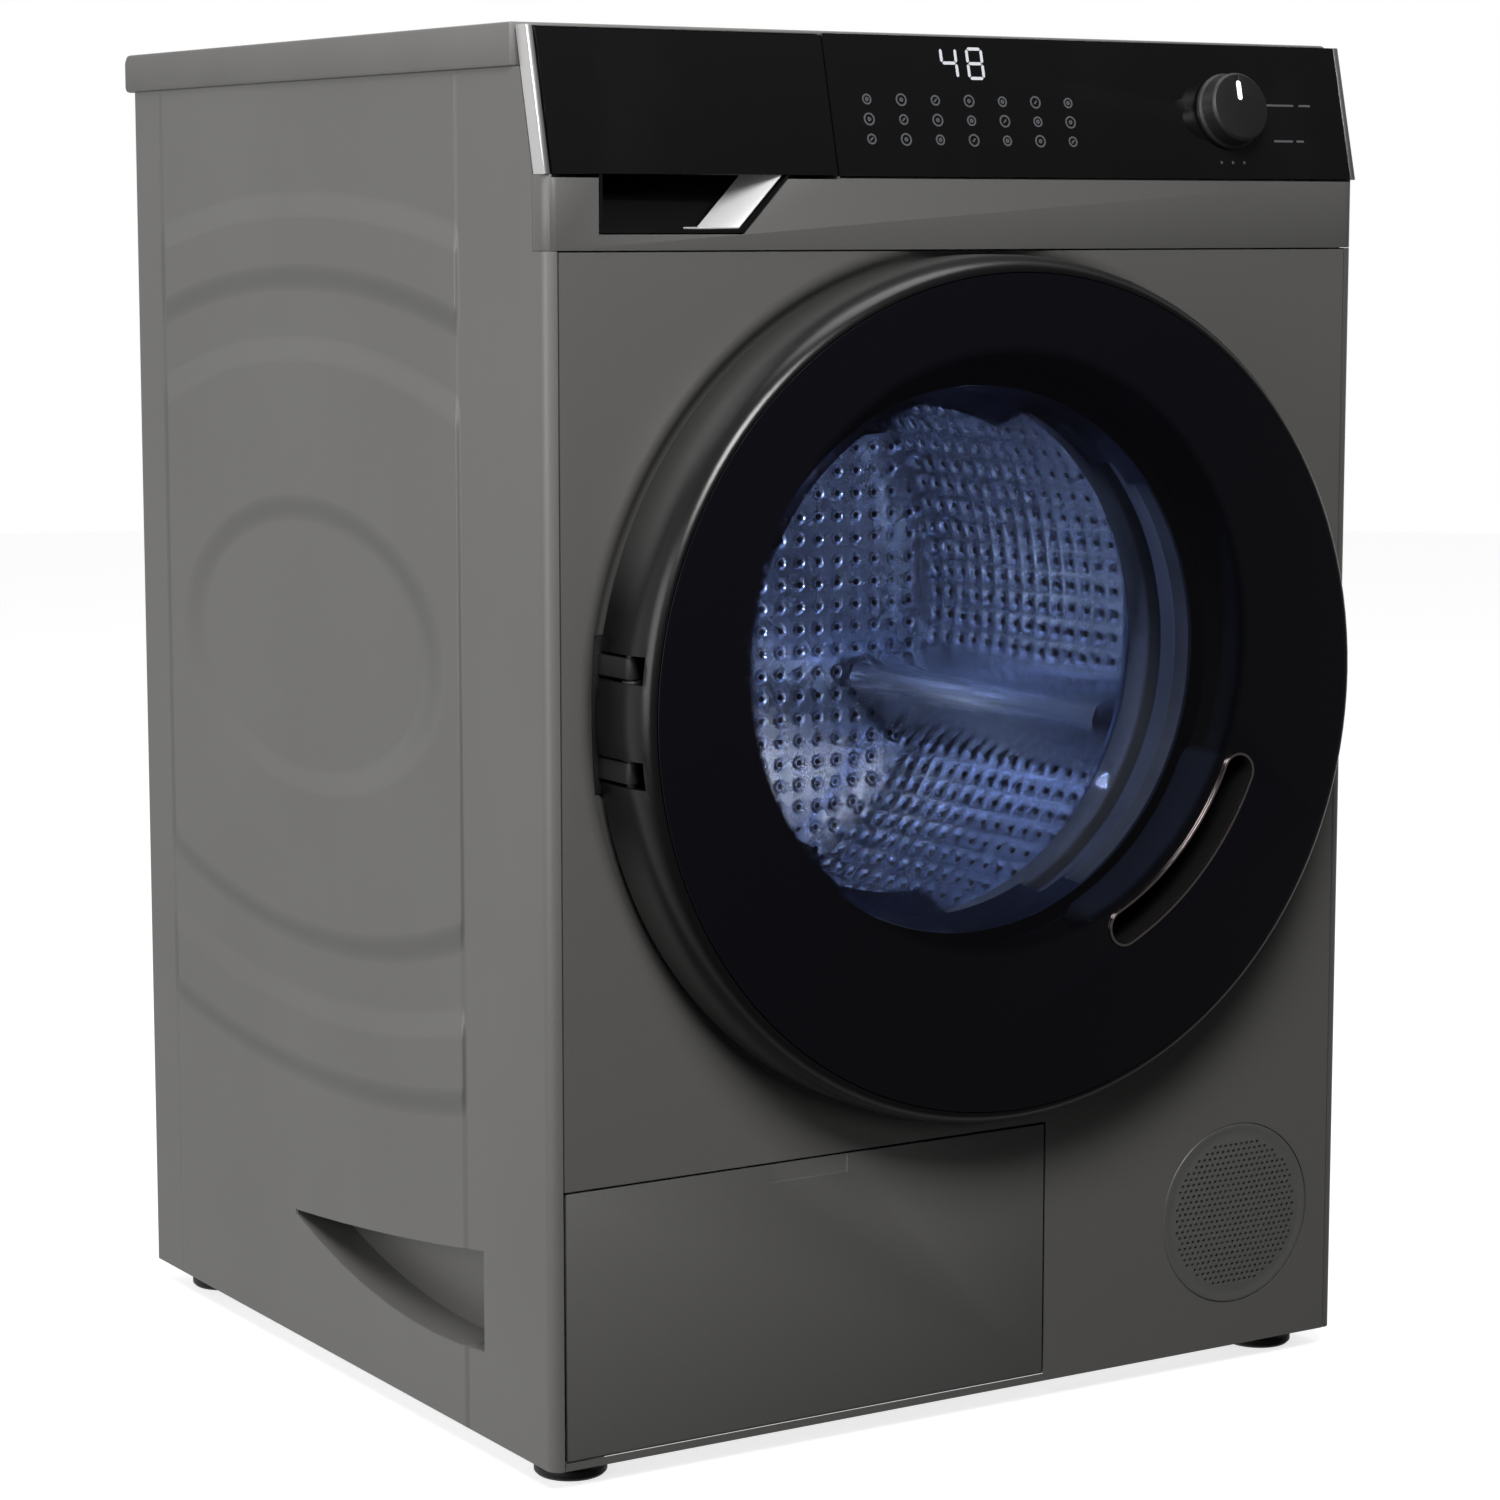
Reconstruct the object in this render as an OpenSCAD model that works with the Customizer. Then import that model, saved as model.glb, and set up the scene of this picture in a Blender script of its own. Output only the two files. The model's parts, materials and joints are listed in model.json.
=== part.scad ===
// Front load washing machine: sheet-steel cabinet, sprung tub, belt-driven drum and a large round door.
// Millimetres. +Z is up, the front faces -Y, and the origin is on the floor under the middle of the machine.

/* [Cabinet] */
// Width across the worktop
machine_w = 595; // [590:1:600]
// Height with the feet screwed in
machine_h = 850; // [848:1:854]
// Depth of the side panels
side_d = 570; // [566:1:574]
// Thickness of the cabinet sheet
sheet_t = 1; // [0.8:0.1:1.2]

/* [Door] */
// Outer radius of the door ring
door_r = 262; // [258:1:262]
// How far the door stands in front of the cabinet
door_proud = 50; // [48:1:52]
// Radius of the hole that the laundry goes through
mouth_r = 178; // [177:1:179]

/* [Drum] */
// Outer radius of the drum
drum_r = 244; // [240:1:246]
// Height of the lifters above the drum wall
lifter_h = 58; // [50:1:62]

/* [Controls] */
// How far the top of the black panel leans back
glass_lean = 20; // [16:1:22]
// Radius of the programme knob
knob_r = 24; // [20:1:25]

/* [Hidden] */
$fn = 96;

// Cabinet planes
rear_proud = 22;
front_y = door_proud - (side_d + door_proud + rear_proud) / 2;
back_y = front_y + side_d;
side_x = machine_w / 2 - 2.5;
corner_r = 8;
end_wrap = 14;
worktop_y0 = front_y + 35;
panel_x = side_x - corner_r - 1;
cab_z = 14;
worktop_t = 25;
top_z = machine_h - worktop_t;
bar_z0 = 722;
bar_z1 = 765;
base_top = cab_z + 1.5;
foot_x = 262;
foot_in = 38;

// Leaning control panel
glass_rise = machine_h - 2 - bar_z1;
lean_a = atan(glass_lean / glass_rise);
slope_l = sqrt(pow(glass_lean, 2) + pow(glass_rise, 2));
glass_t = 4;
drawer_x0 = -289.6;
drawer_x1 = -99;
knob_x = 197;
knob_s = 42;

// Door, dish and hinge
door_z = 457;
dish_r = 276;
dish_depth = 10;
floor_y = front_y + dish_depth;
door_back = front_y + 2;
door_front = front_y - door_proud;
frame_front = door_back - 3;
hinge_x = 8 - door_r;
hinge_y = front_y - 24;
pin_r = 3;
latch_x = 225;
latch_y = front_y - 14;

// Tub, drum and drive
drum_z = 474;
tub_r = 268;
tub_t = 3;
tub_y0 = front_y + 66;
tub_y1 = tub_y0 + 371;
tub_split = tub_y0 + 185;
drum_y0 = tub_y0 + 13;
drum_y1 = tub_y1 - 26;
shaft_r1 = 15;
shaft_r2 = 12.5;
run_gap = 0.04;
pulley_r = 145;
pulley_y = tub_y1 + 42;
rotor_r = 11;
motor_x = 70;
motor_z = 120;
motor_r = 60;
spring_x = 225;
spring_y = 60;
damper_x = 190;
damper_y = -60;

// Hose from the drawer to the tub
fill_x = -150;
fill_y = -40;
fill_z = drum_z + 236;

// Pump
pump_x = -120;
pump_z = 80;
pump_y0 = front_y + 34;
drain_x = -240;
drain_z = 700;

// Water inlet and power entry in the rear
valve_x = -150;
gland_x = 200;
supply_z = 770;

// Flap
flap_x0 = -panel_x + 1;
flap_x1 = 57;
flap_z0 = 20;
flap_z1 = 179.5;
flap_axis_z = 27;
flap_axis_y = front_y + 7;

// Round air grille
grille_x = 211;
grille_z = 102;
grille_r = 59;

function arc(cx, cy, r, a0, a1, n = 6) =
    [for (i = [0:n]) let (a = a0 + (a1 - a0) * i / n) [cx + r * cos(a), cy + r * sin(a)]];

module box(x0, x1, y0, y1, z0, z1) {
    translate([x0, y0, z0]) cube([x1 - x0, y1 - y0, z1 - z0]);
}

module rod_x(r, x0, x1, y, z) {
    translate([x0, y, z]) rotate([0, 90, 0]) cylinder(r = r, h = x1 - x0);
}

module rod_y(r, y0, y1, x, z) {
    translate([x, y0, z]) rotate([-90, 0, 0]) cylinder(r = r, h = y1 - y0);
}

module rod_z(r, z0, z1, x, y) {
    translate([x, y, z0]) cylinder(r = r, h = z1 - z0);
}

module ring_y(ro, ri, y0, y1, x, z) {
    difference() {
        rod_y(ro, y0, y1, x, z);
        rod_y(ri, y0 - 1, y1 + 1, x, z);
    }
}

module ring_z(ro, ri, z0, z1, x, y) {
    difference() {
        rod_z(ro, z0, z1, x, y);
        rod_z(ri, z0 - 1, z1 + 1, x, y);
    }
}

// Turns an outline of [radius, y] points round a line along Y
module turned_y(points, z) {
    translate([0, 0, z]) rotate([-90, 0, 0]) rotate_extrude() polygon(points);
}

// Extrudes an outline of [y, z] points along X
module along_x(points, x0, x1) {
    translate([x0, 0, 0]) rotate([90, 0, 90]) linear_extrude(x1 - x0) polygon(points);
}

// Extrudes an outline of [x, z] points along Y
module along_y(points, y0, y1) {
    translate([0, y1, 0]) rotate([90, 0, 0]) linear_extrude(y1 - y0) polygon(points);
}

// A round pipe through a list of points, with ball elbows
module pipe(route, r) {
    for (i = [0:len(route) - 2]) {
        d = route[i + 1] - route[i];
        translate(route[i]) rotate([0, acos(d[2] / norm(d)), atan2(d[1], d[0])])
            cylinder(r = r, h = norm(d), $fn = 32);
    }
    for (i = [1:len(route) - 2]) translate(route[i]) sphere(r = r + 0.4, $fn = 32);
}

// Puts its children on the leaning panel: x across, s up the slope, local Z out of the glass
module on_glass(x, s) {
    translate([x, front_y + s * sin(lean_a), bar_z1 + s * cos(lean_a)]) rotate([90 - lean_a, 0, 0]) children();
}

// ---------------------------------------------------------------- cabinet

module base_pan() color("dimgray") difference() {
    union() {
        box(-side_x + 2, side_x - 2, front_y + 14, back_y - 3, cab_z, base_top);
        for (s = [-1, 1]) box(s * (side_x - 2.75) - 0.75, s * (side_x - 2.75) + 0.75, front_y + 14, back_y - 3,
                              cab_z, cab_z + 28);
        box(-side_x + 2, side_x - 2, back_y - 4.5, back_y - 3, cab_z, cab_z + 28);
        for (s = [-1, 1], y = [front_y + foot_in, back_y - foot_in]) rod_z(15, cab_z, cab_z + 24, s * foot_x, y);
    }
    for (s = [-1, 1], y = [front_y + foot_in, back_y - foot_in]) rod_z(5.05, 0, 60, s * foot_x, y);
}

// Outline of the boat-shaped hand grip, drawn in by k all round
function grip_outline(k) =
    let (tip = 74, end = -188, low = -120, n = 8)
    concat([for (i = [0:n]) let (y = end + k + (tip - 4 * k - end) * i / n) [y, 62 + k + 0.0009 * pow(y - low, 2)]],
           [for (i = [n:-1:0]) let (y = end + k + (tip - 4 * k - end) * i / n, t = tip - y)
               [y, 99 - k + 0.075 * t + 0.00016 * pow(t, 2)]]);

// The left side panel: one bent sheet, round at the front corner, with the hand grip pressed in
module side_panel() {
    cx = -side_x + corner_r;
    difference() {
        translate([0, 0, cab_z]) linear_extrude(top_z - cab_z) union() {
            polygon(concat(arc(cx, front_y + corner_r, corner_r, 270, 180),
                [[-side_x, back_y], [-side_x + 14, back_y], [-side_x + 14, back_y - sheet_t],
                 [-side_x + sheet_t, back_y - sheet_t]],
                arc(cx, front_y + corner_r, corner_r - sheet_t, 180, 270)));
            translate([cx - sheet_t, front_y + sheet_t / 2]) square([sheet_t, 12]);
        }
        along_x(grip_outline(sheet_t / 2), -side_x - 1, -side_x + 5);
        along_x([[front_y - 5, bar_z0 - 0.3], [front_y + end_wrap + 0.3, bar_z0 - 0.3],
                 [front_y + end_wrap + 0.3, bar_z1], [front_y + glass_lean + end_wrap + 0.3, machine_h - 2],
                 [front_y - 5, machine_h]], -side_x - 1, -side_x + 20);
    }
    difference() {
        along_x(grip_outline(0), -side_x + sheet_t / 2, -side_x + 30);
        along_x(grip_outline(sheet_t), -side_x - 1, -side_x + 30 - sheet_t);
    }
}

module left_side_panel() color([0.43, 0.43, 0.42]) side_panel();
module right_side_panel() color([0.43, 0.43, 0.42]) mirror([1, 0, 0]) side_panel();

service_x = 195;
service_z0 = 80;
service_z1 = 640;
module rear_panel() color([0.4, 0.4, 0.39]) difference() {
    box(-side_x + 1.5, side_x - 1.5, back_y - 2.2, back_y - 1.2, cab_z + 1, top_z);
    box(-service_x, service_x, back_y - 5, back_y + 5, service_z0, service_z1);
    for (s = [-1, 1], z = [250, 560]) rod_y(12, back_y - 5, back_y + 5, s * 240, z);
    rod_y(14, back_y - 5, back_y + 5, valve_x, supply_z);
    rod_y(12, back_y - 5, back_y + 5, gland_x, supply_z);
    rod_y(10.5, back_y - 5, back_y + 5, drain_x, drain_z);
    for (s = [-1, 1]) rod_y(2.1, back_y - 5, back_y + 5, s * 270, 800);
}

module rear_cover() color([0.38, 0.38, 0.37]) difference() {
    union() {
        box(-service_x - 14, service_x + 14, back_y - 1.2, back_y - 0.2, service_z0 - 14, service_z1 + 14);
        box(-service_x + 6, service_x - 6, back_y - 1.2, back_y + 7, service_z0 + 6, service_z1 - 6);
    }
    box(-service_x + 7, service_x - 7, back_y - 3, back_y + 6, service_z0 + 7, service_z1 - 7);
    for (s = [-1, 1], z = [service_z0, 220, 500, service_z1])
        rod_y(2.4, back_y - 5, back_y + 5, s * (service_x + 8), z);
}

module transit_caps() color("gray") for (s = [-1, 1], z = [250, 560]) {
    rod_y(17, back_y - 1.2, back_y + 2, s * 240, z);
    rod_y(11.9, back_y - 8, back_y - 1, s * 240, z);
}

// The dish's soft lip: two arcs that run from its floor out to the panel (order 1) or back (order -1),
// with the second face t behind the first
lip_w = 22;
lip_r = (lip_w * lip_w / 4 + dish_depth * dish_depth / 4) / dish_depth;
lip_a = asin(lip_w / 2 / lip_r);
function dish_lip(t, order) = [for (i = [0:11]) let (k = order > 0 ? i : 11 - i, a = lip_a * (k < 6 ? k : 11 - k) / 5.5)
    k < 6 ? [dish_r - lip_w + (lip_r + t) * sin(a), floor_y - lip_r + (lip_r + t) * cos(a)]
          : [dish_r - (lip_r - t) * sin(a), front_y + lip_r - (lip_r - t) * cos(a)]];

module front_panel() color([0.33, 0.33, 0.32]) difference() {
    union() {
        difference() {
            box(-panel_x, panel_x, front_y, front_y + sheet_t, cab_z, bar_z0 - 1);
            rod_y(dish_r, front_y - 5, front_y + 5, 0, door_z);
        }
        for (s = [-1, 1]) box(s * (panel_x - 0.5) - 0.5, s * (panel_x - 0.5) + 0.5, front_y + sheet_t / 2,
                              front_y + 11, cab_z, bar_z0 - 1);
        turned_y(concat([[0, floor_y]], dish_lip(0, 1), [[dish_r + 0.6, front_y], [dish_r + 0.6, front_y + sheet_t]],
                        dish_lip(sheet_t, -1), [[0, floor_y + sheet_t]]), door_z);
        rod_y(mouth_r + sheet_t, floor_y, floor_y + 8, 0, drum_z);
    }
    rod_y(mouth_r, front_y - 5, floor_y + 20, 0, drum_z);
    box(-300, 300, front_y - 5, front_y + 40, bar_z0 - 1, bar_z0 + 40);
    box(-300, flap_x1 + 1.5, front_y - 5, front_y + 30, flap_z0 - 1.5, flap_z1 + 1.5);
    rod_y(grille_r + 0.3, front_y - 5, front_y + 5, grille_x, grille_z);
    box(latch_x - 20, latch_x + 15, front_y - 5, floor_y + 5, door_z - 17, door_z + 17);
    box(hinge_x - 8.4, hinge_x + 10, front_y - 5, floor_y, door_z - 46.4, door_z + 46.4);
}

// Round grille: a disc with upright slots, clipped into the front panel
module vent_grille() color([0.32, 0.32, 0.31]) difference() {
    union() {
        rod_y(grille_r, front_y + 0.2, front_y + 3.2, grille_x, grille_z);
        ring_y(grille_r - 2, grille_r - 4, front_y + 3, front_y + 12, grille_x, grille_z);
    }
    for (i = [-6:6], s = [-1, 1]) {
        h = sqrt(pow(grille_r - 8, 2) - pow(i * 7.5, 2));
        box(grille_x + i * 7.5 - 2, grille_x + i * 7.5 + 2, front_y - 1, front_y + 5,
            grille_z + (s > 0 ? 2 : -h), grille_z + (s > 0 ? h : -2));
    }
}

// Channel across the top that the two springs hang from, and the angle behind the control panel
module frame_braces() color("silver") difference() {
    union() {
        box(-side_x + 1, side_x - 1, front_y + 33, front_y + 34.5, bar_z0 + 1, bar_z0 + 20);
        box(-side_x + 1, side_x - 1, front_y + 33, front_y + 58, bar_z0 + 1, bar_z0 + 2.5);
        box(-side_x + 1, side_x - 1, spring_y - 18, spring_y + 18, top_z - 17, top_z - 15.5);
        for (s = [-1, 1]) box(-side_x + 1, side_x - 1, spring_y + s * 17.25 - 0.75, spring_y + s * 17.25 + 0.75,
                              top_z - 17, top_z);
    }
    for (s = [-1, 1]) rod_z(7, top_z - 30, top_z - 5, s * spring_x, spring_y);
}

// Board with a moulded trim along its rear edge
module worktop() color([0.47, 0.47, 0.46]) {
    box(-machine_w / 2, machine_w / 2, worktop_y0, back_y - 12, top_z, machine_h);
    along_x([[back_y - 12, top_z], [back_y + 10, top_z], [back_y + 12, top_z + 3], [back_y + 12, machine_h - 5],
             [back_y + 8, machine_h], [back_y - 12, machine_h]], -machine_w / 2, machine_w / 2);
}

// ---------------------------------------------------------------- control panel

trim_w = 4;
fascia_x = side_x - trim_w;
grip_x0 = -260;
grip_x1 = -131;
grip_slant = 32;
grip_z0 = 731;
// Outline of the hand opening under the drawer, drawn in by k
function drawer_grip(k) = [[grip_x0 + k, grip_z0 + k], [grip_x1 - grip_slant - k, grip_z0 + k], [grip_x1 - k, bar_z1],
                           [grip_x0 + k, bar_z1]];

module fascia_housing() color([0.34, 0.34, 0.33]) difference() {
    top_y = front_y + glass_lean;
    union() {
        along_x([[front_y + 1, bar_z0], [front_y + 1, bar_z1 - 0.5], [front_y + glass_t + 0.4, bar_z1 - 1.6],
                 [top_y + glass_t + 0.3, machine_h - 2], [worktop_y0, machine_h - 2], [worktop_y0, top_z - 1],
                 [front_y + 31, top_z - 1], [front_y + 31, bar_z0]], -fascia_x, fascia_x);
        // flush bar, rounded where it wraps onto the sides
        translate([0, 0, bar_z0]) linear_extrude(bar_z1 - bar_z0 - 0.5) polygon(concat(
            arc(-side_x + corner_r, front_y + corner_r, corner_r, 180, 270),
            arc(side_x - corner_r, front_y + corner_r, corner_r, 270, 360),
            [[side_x, front_y + end_wrap], [-side_x, front_y + end_wrap]]));
    }
    // electronics bay, open at the back
    along_x([[front_y + 3, bar_z0 + 2.5], [front_y + 3, bar_z1 - 3.5], [front_y + 7, bar_z1 - 3.5],
             [top_y + 7, machine_h - 5], [worktop_y0 + 5, machine_h - 5], [worktop_y0 + 5, bar_z0 + 2.5]],
            drawer_x1 + 3, fascia_x - 3);
    // the glass lies in a shallow seat
    along_x([[front_y - 1, bar_z1 - 1.6], [front_y + glass_t + 0.4, bar_z1 - 1.6],
             [top_y + glass_t + 0.3, machine_h - 2], [top_y - 5, machine_h - 2]], drawer_x1 + 1, fascia_x + 1);
    // drawer bay, open at the front and back
    box(drawer_x0 - 0.4, drawer_x1 + 0.8, front_y - 5, worktop_y0 + 5, bar_z1 - 2.2, machine_h - 5);
    box(drawer_x0 + 1.5, drawer_x1 + 0.8, front_y + 3, worktop_y0 + 5, bar_z0 + 2.5, bar_z1);
    along_x([[front_y - 1, bar_z1 - 2.2], [front_y + 30, bar_z1 - 2.2], [front_y + 30, machine_h - 2.6],
             [front_y - 1, machine_h - 2.6]], drawer_x0 - 0.4, drawer_x1 + 0.8);
    along_y(drawer_grip(0), front_y - 5, front_y + 28);
    // holes for the knob shaft and the display
    on_glass(knob_x, knob_s) translate([0, 0, -20]) cylinder(r = 5, h = 30);
    on_glass(0, 66) translate([-28, -13, -20]) cube([56, 26, 30]);
}

// Bright strips that close the ends of the leaning panel
module end_trims() color([0.8, 0.8, 0.8]) for (s = [-1, 1])
    along_x([[front_y, bar_z1 - 0.5], [front_y + glass_lean, machine_h - 2],
             [front_y + glass_lean + 13, machine_h - 2], [front_y + 13, bar_z1 - 0.5]],
            s > 0 ? fascia_x : -side_x, s > 0 ? side_x : -fascia_x);

module control_glass() color([0.03, 0.03, 0.03]) on_glass(0, 0) difference() {
    translate([drawer_x1 + 1.2, 0, -glass_t]) cube([fascia_x - drawer_x1 - 1.4, slope_l - 0.2, glass_t]);
    translate([knob_x, knob_s, -10]) cylinder(r = 4, h = 20);
}

module display_board() color([0.1, 0.35, 0.2]) on_glass(0, 0) difference() {
    union() {
        translate([-86, 14, -12]) cube([330, 56, 1.6]);
        translate([-24, 55, -10.4]) cube([48, 22, 6]);
        translate([knob_x - 9, knob_s - 9, -16]) cube([18, 18, 8]);
    }
    translate([knob_x, knob_s, -20]) cylinder(r = 3 + run_gap, h = 30);
}

// Knob with a round skirt, a dished front and a stepped shaft
module program_knob() color([0.06, 0.06, 0.06]) on_glass(knob_x, knob_s) {
    difference() {
        translate([0, 0, 0.8]) rotate_extrude()
            polygon([[0, 0], [knob_r, 0], [knob_r, 2.5], [knob_r - 1.5, 4], [knob_r - 2.5, 13],
                     [knob_r - 4, 14.5], [0, 14.5]]);
        translate([-0.8, knob_r - 15, 14.8]) cube([1.6, 10, 2]);
    }
    translate([0, 0, -15]) cylinder(r = 3, h = 16);
}

module inverter_box() color([0.2, 0.2, 0.22]) {
    box(146, 244, front_y + 40, front_y + 110, base_top, 140);
    for (i = [0:6]) box(151 + i * 14, 154 + i * 14, front_y + 46, front_y + 104, 140, 152);
}

// ---------------------------------------------------------------- detergent drawer

tray_x0 = drawer_x0 + 6;
tray_x1 = drawer_x1 - 6;
tray_y0 = front_y + 27;
tray_y1 = -22;
tray_z0 = bar_z1 + 3;
tray_z1 = tray_z0 + 52;
divide_x = [tray_x0 + 62, tray_x0 + 128];

module dispenser_housing() color([0.75, 0.75, 0.75]) {
    difference() {
        box(tray_x0 - 3.5, tray_x1 + 3.5, worktop_y0 + 1, tray_y1 + 16, tray_z0 - 24, top_z - 1);
        box(tray_x0 - 1.5, tray_x1 + 1.5, worktop_y0, tray_y1 + 14, tray_z0 - 1, top_z + 5);
        box(tray_x0 - 1.5, tray_x1 + 1.5, worktop_y0 + 3, tray_y1 + 14, tray_z0 - 22, tray_z0);
        rod_z(13, tray_z0 - 30, tray_z0, fill_x, fill_y);
        rod_y(7, tray_y1 + 10, tray_y1 + 20, -150, tray_z0 - 10);
    }
    ring_z(16, 13, tray_z0 - 38, tray_z0 - 23, fill_x, fill_y);
    for (x = [tray_x0 - 1.5, tray_x1 - 0.5]) box(x, x + 2, worktop_y0 + 3, tray_y1 + 14, tray_z0 - 3, tray_z0 - 1);
}

module drawer_front() color([0.03, 0.03, 0.03]) difference() {
    union() {
        on_glass(0, 0) translate([drawer_x0, 0.1, -glass_t - 3]) cube([drawer_x1 - drawer_x0, slope_l - 1.6, glass_t + 3]);
        // carrier down to the tray, and the hand cup under the panel
        along_x([[front_y + 7, bar_z1 + 0.6], [front_y + 24.5, bar_z1 + 76], [tray_y0, bar_z1 + 76],
                 [tray_y0, bar_z1 + 0.6]], drawer_x0 + 3, drawer_x1 - 3);
        along_y(drawer_grip(0.8), front_y + 0.6, front_y + 27);
    }
    along_y(drawer_grip(2.8), front_y - 5, front_y + 25);
    box(grip_x0 + 2.8, grip_x1 - 6, front_y + 8, front_y + 24, bar_z1 - 1, bar_z1 + 18);
}

module drawer_tray() color([0.78, 0.8, 0.82]) difference() {
    box(tray_x0, tray_x1, tray_y0, tray_y1, tray_z0, tray_z1);
    box(tray_x0 + 2, divide_x[0] - 1, tray_y0 + 2, tray_y1 - 2, tray_z0 + 2, tray_z1 + 5);
    box(divide_x[0] + 1, divide_x[1] - 1, tray_y0 + 2, tray_y1 - 2, tray_z0 + 2, tray_z1 + 5);
    box(divide_x[1] + 1, tray_x1 - 2, tray_y0 + 2, tray_y1 - 2, tray_z0 + 2, tray_z1 + 5);
    box(divide_x[0] + 1, divide_x[1] - 1, tray_y1 - 5, tray_y1 + 5, tray_z0 + 2, tray_z0 + 14);
}

module siphon_cap() color([0.3, 0.45, 0.75]) {
    box(tray_x0 + 2.3, divide_x[0] - 1.3, tray_y1 - 70, tray_y1 - 2.3, tray_z1 - 8, tray_z1 - 5);
    ring_z(9, 7, tray_z0 + 8, tray_z1 - 5, (tray_x0 + divide_x[0]) / 2, tray_y1 - 30);
}

// ---------------------------------------------------------------- water and power

module inlet_valve() color([0.85, 0.85, 0.8]) {
    box(valve_x - 26, valve_x + 26, back_y - 46, back_y - 2.2, supply_z - 22, supply_z + 22);
    for (x = [-14, 14]) rod_z(9, supply_z + 22, supply_z + 42, valve_x + x, back_y - 26);
    difference() {
        union() {
            rod_y(13.2, back_y - 3, back_y + rear_proud, valve_x, supply_z);
            rod_y(18, back_y - 1.2, back_y + 3, valve_x, supply_z);
        }
        rod_y(7.5, back_y + 4, back_y + rear_proud + 1, valve_x, supply_z);
    }
    rod_y(6, back_y - 60, back_y - 46, valve_x, supply_z);
}

module power_gland() color([0.15, 0.15, 0.15]) difference() {
    union() {
        rod_y(16, back_y - 1.2, back_y + 4, gland_x, supply_z);
        rod_y(11.9, back_y - 14, back_y + 8, gland_x, supply_z);
        box(gland_x - 20, gland_x + 20, back_y - 44, back_y - 14, supply_z - 14, supply_z + 14);
    }
    rod_y(4.2, back_y - 30, back_y + 10, gland_x, supply_z);
}

module pump_housing() color([0.8, 0.8, 0.78]) {
    difference() {
        union() {
            rod_y(34, pump_y0, pump_y0 + 116, pump_x, pump_z);
            rod_z(20, pump_z, pump_z + 52, pump_x, pump_y0 + 54);
            box(pump_x - 26, pump_x + 26, pump_y0 + 4, pump_y0 + 110, base_top, pump_z - 10);
            rod_x(12, pump_x - 52, pump_x, pump_y0 + 100, pump_z + 5);
        }
        rod_y(31, pump_y0 - 1, pump_y0 + 85, pump_x, pump_z);
        rod_y(28, pump_y0 + 80, pump_y0 + 113, pump_x, pump_z);
        rod_z(16, pump_z, pump_z + 60, pump_x, pump_y0 + 54);
        rod_y(3, pump_y0 + 80, pump_y0 + 120, pump_x, pump_z);
    }
    difference() {
        rod_y(29, pump_y0 + 116, pump_y0 + 168, pump_x, pump_z);
        rod_y(3, pump_y0 + 110, pump_y0 + 140, pump_x, pump_z);
    }
}

module filter_cap() color([0.3, 0.3, 0.32]) {
    rod_y(30.9, pump_y0 - 3, pump_y0 + 8, pump_x, pump_z);
    rod_y(33, pump_y0 - 6, pump_y0 - 3, pump_x, pump_z);
    box(pump_x - 27, pump_x + 27, pump_y0 - 18, pump_y0 - 6, pump_z - 5, pump_z + 5);
    for (i = [0:5]) rod_y(2.5, pump_y0 + 8, pump_y0 + 62, pump_x + 26 * cos(60 * i), pump_z + 26 * sin(60 * i));
    ring_y(29, 23, pump_y0 + 60, pump_y0 + 64, pump_x, pump_z);
}

module pump_impeller() color([0.85, 0.85, 0.85]) {
    rod_y(6, pump_y0 + 90, pump_y0 + 112, pump_x, pump_z);
    rod_y(3 - run_gap, pump_y0 + 110, pump_y0 + 139, pump_x, pump_z);
    for (i = [0:3]) translate([pump_x, 0, pump_z]) rotate([0, 90 * i + 20, 0])
        box(0, 25, pump_y0 + 92, pump_y0 + 108, -1.2, 1.2);
}

module drain_hose() color([0.2, 0.2, 0.2]) {
    pipe([[pump_x - 52, pump_y0 + 100, pump_z + 5], [drain_x, pump_y0 + 100, pump_z + 5],
          [drain_x, back_y - 35, pump_z + 5], [drain_x, back_y - 35, drain_z], [drain_x, back_y - 10, drain_z]], 11);
    rod_y(10, back_y - 12, back_y + 18, drain_x, drain_z);
    rod_y(15, back_y - 1.2, back_y + 2, drain_x, drain_z);
}

flap_hinges = [-240, 12];
module flap_brackets() color("silver") for (x = flap_hinges) {
    for (side = [-14, 10]) {
        rod_x(4.2, x + side, x + side + 4, flap_axis_y, flap_axis_z);
        box(x + side, x + side + 4, flap_axis_y, flap_axis_y + 12, flap_axis_z - 4.2, flap_axis_z + 6);
    }
    box(x - 14, x + 14, flap_axis_y + 9, flap_axis_y + 12, base_top, flap_axis_z + 6);
    rod_x(2, x - 14, x + 14, flap_axis_y, flap_axis_z);
}

// Flap in front of the pump filter, with a finger notch in its top edge and two hinge barrels
module service_flap() color([0.33, 0.33, 0.32]) difference() {
    union() {
        box(flap_x0, flap_x1, front_y, front_y + 2.5, flap_z0, flap_z1);
        for (x = [flap_x0 + 1, -120, flap_x1 - 3]) box(x, x + 2, front_y + 2, front_y + 10, 40, flap_z1 - 8);
        box(flap_x0 + 1, flap_x1 - 1, front_y + 2, front_y + 8, flap_z1 - 10, flap_z1 - 8);
        for (x = flap_hinges) {
            rod_x(4.5, x - 9.5, x + 9.5, flap_axis_y, flap_axis_z);
            box(x - 9.5, x + 9.5, front_y + 2, flap_axis_y, flap_axis_z - 4, flap_axis_z + 4.5);
        }
        for (x = [-200, 0]) box(x, x + 14, front_y + 2, front_y + 16, flap_z1 - 24, flap_z1 - 21);
    }
    for (x = flap_hinges) rod_x(2 + run_gap, x - 20, x + 20, flap_axis_y, flap_axis_z);
    box(-146, -90, front_y - 1, front_y + 1.3, flap_z1 - 11, flap_z1 + 1);
}

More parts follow.
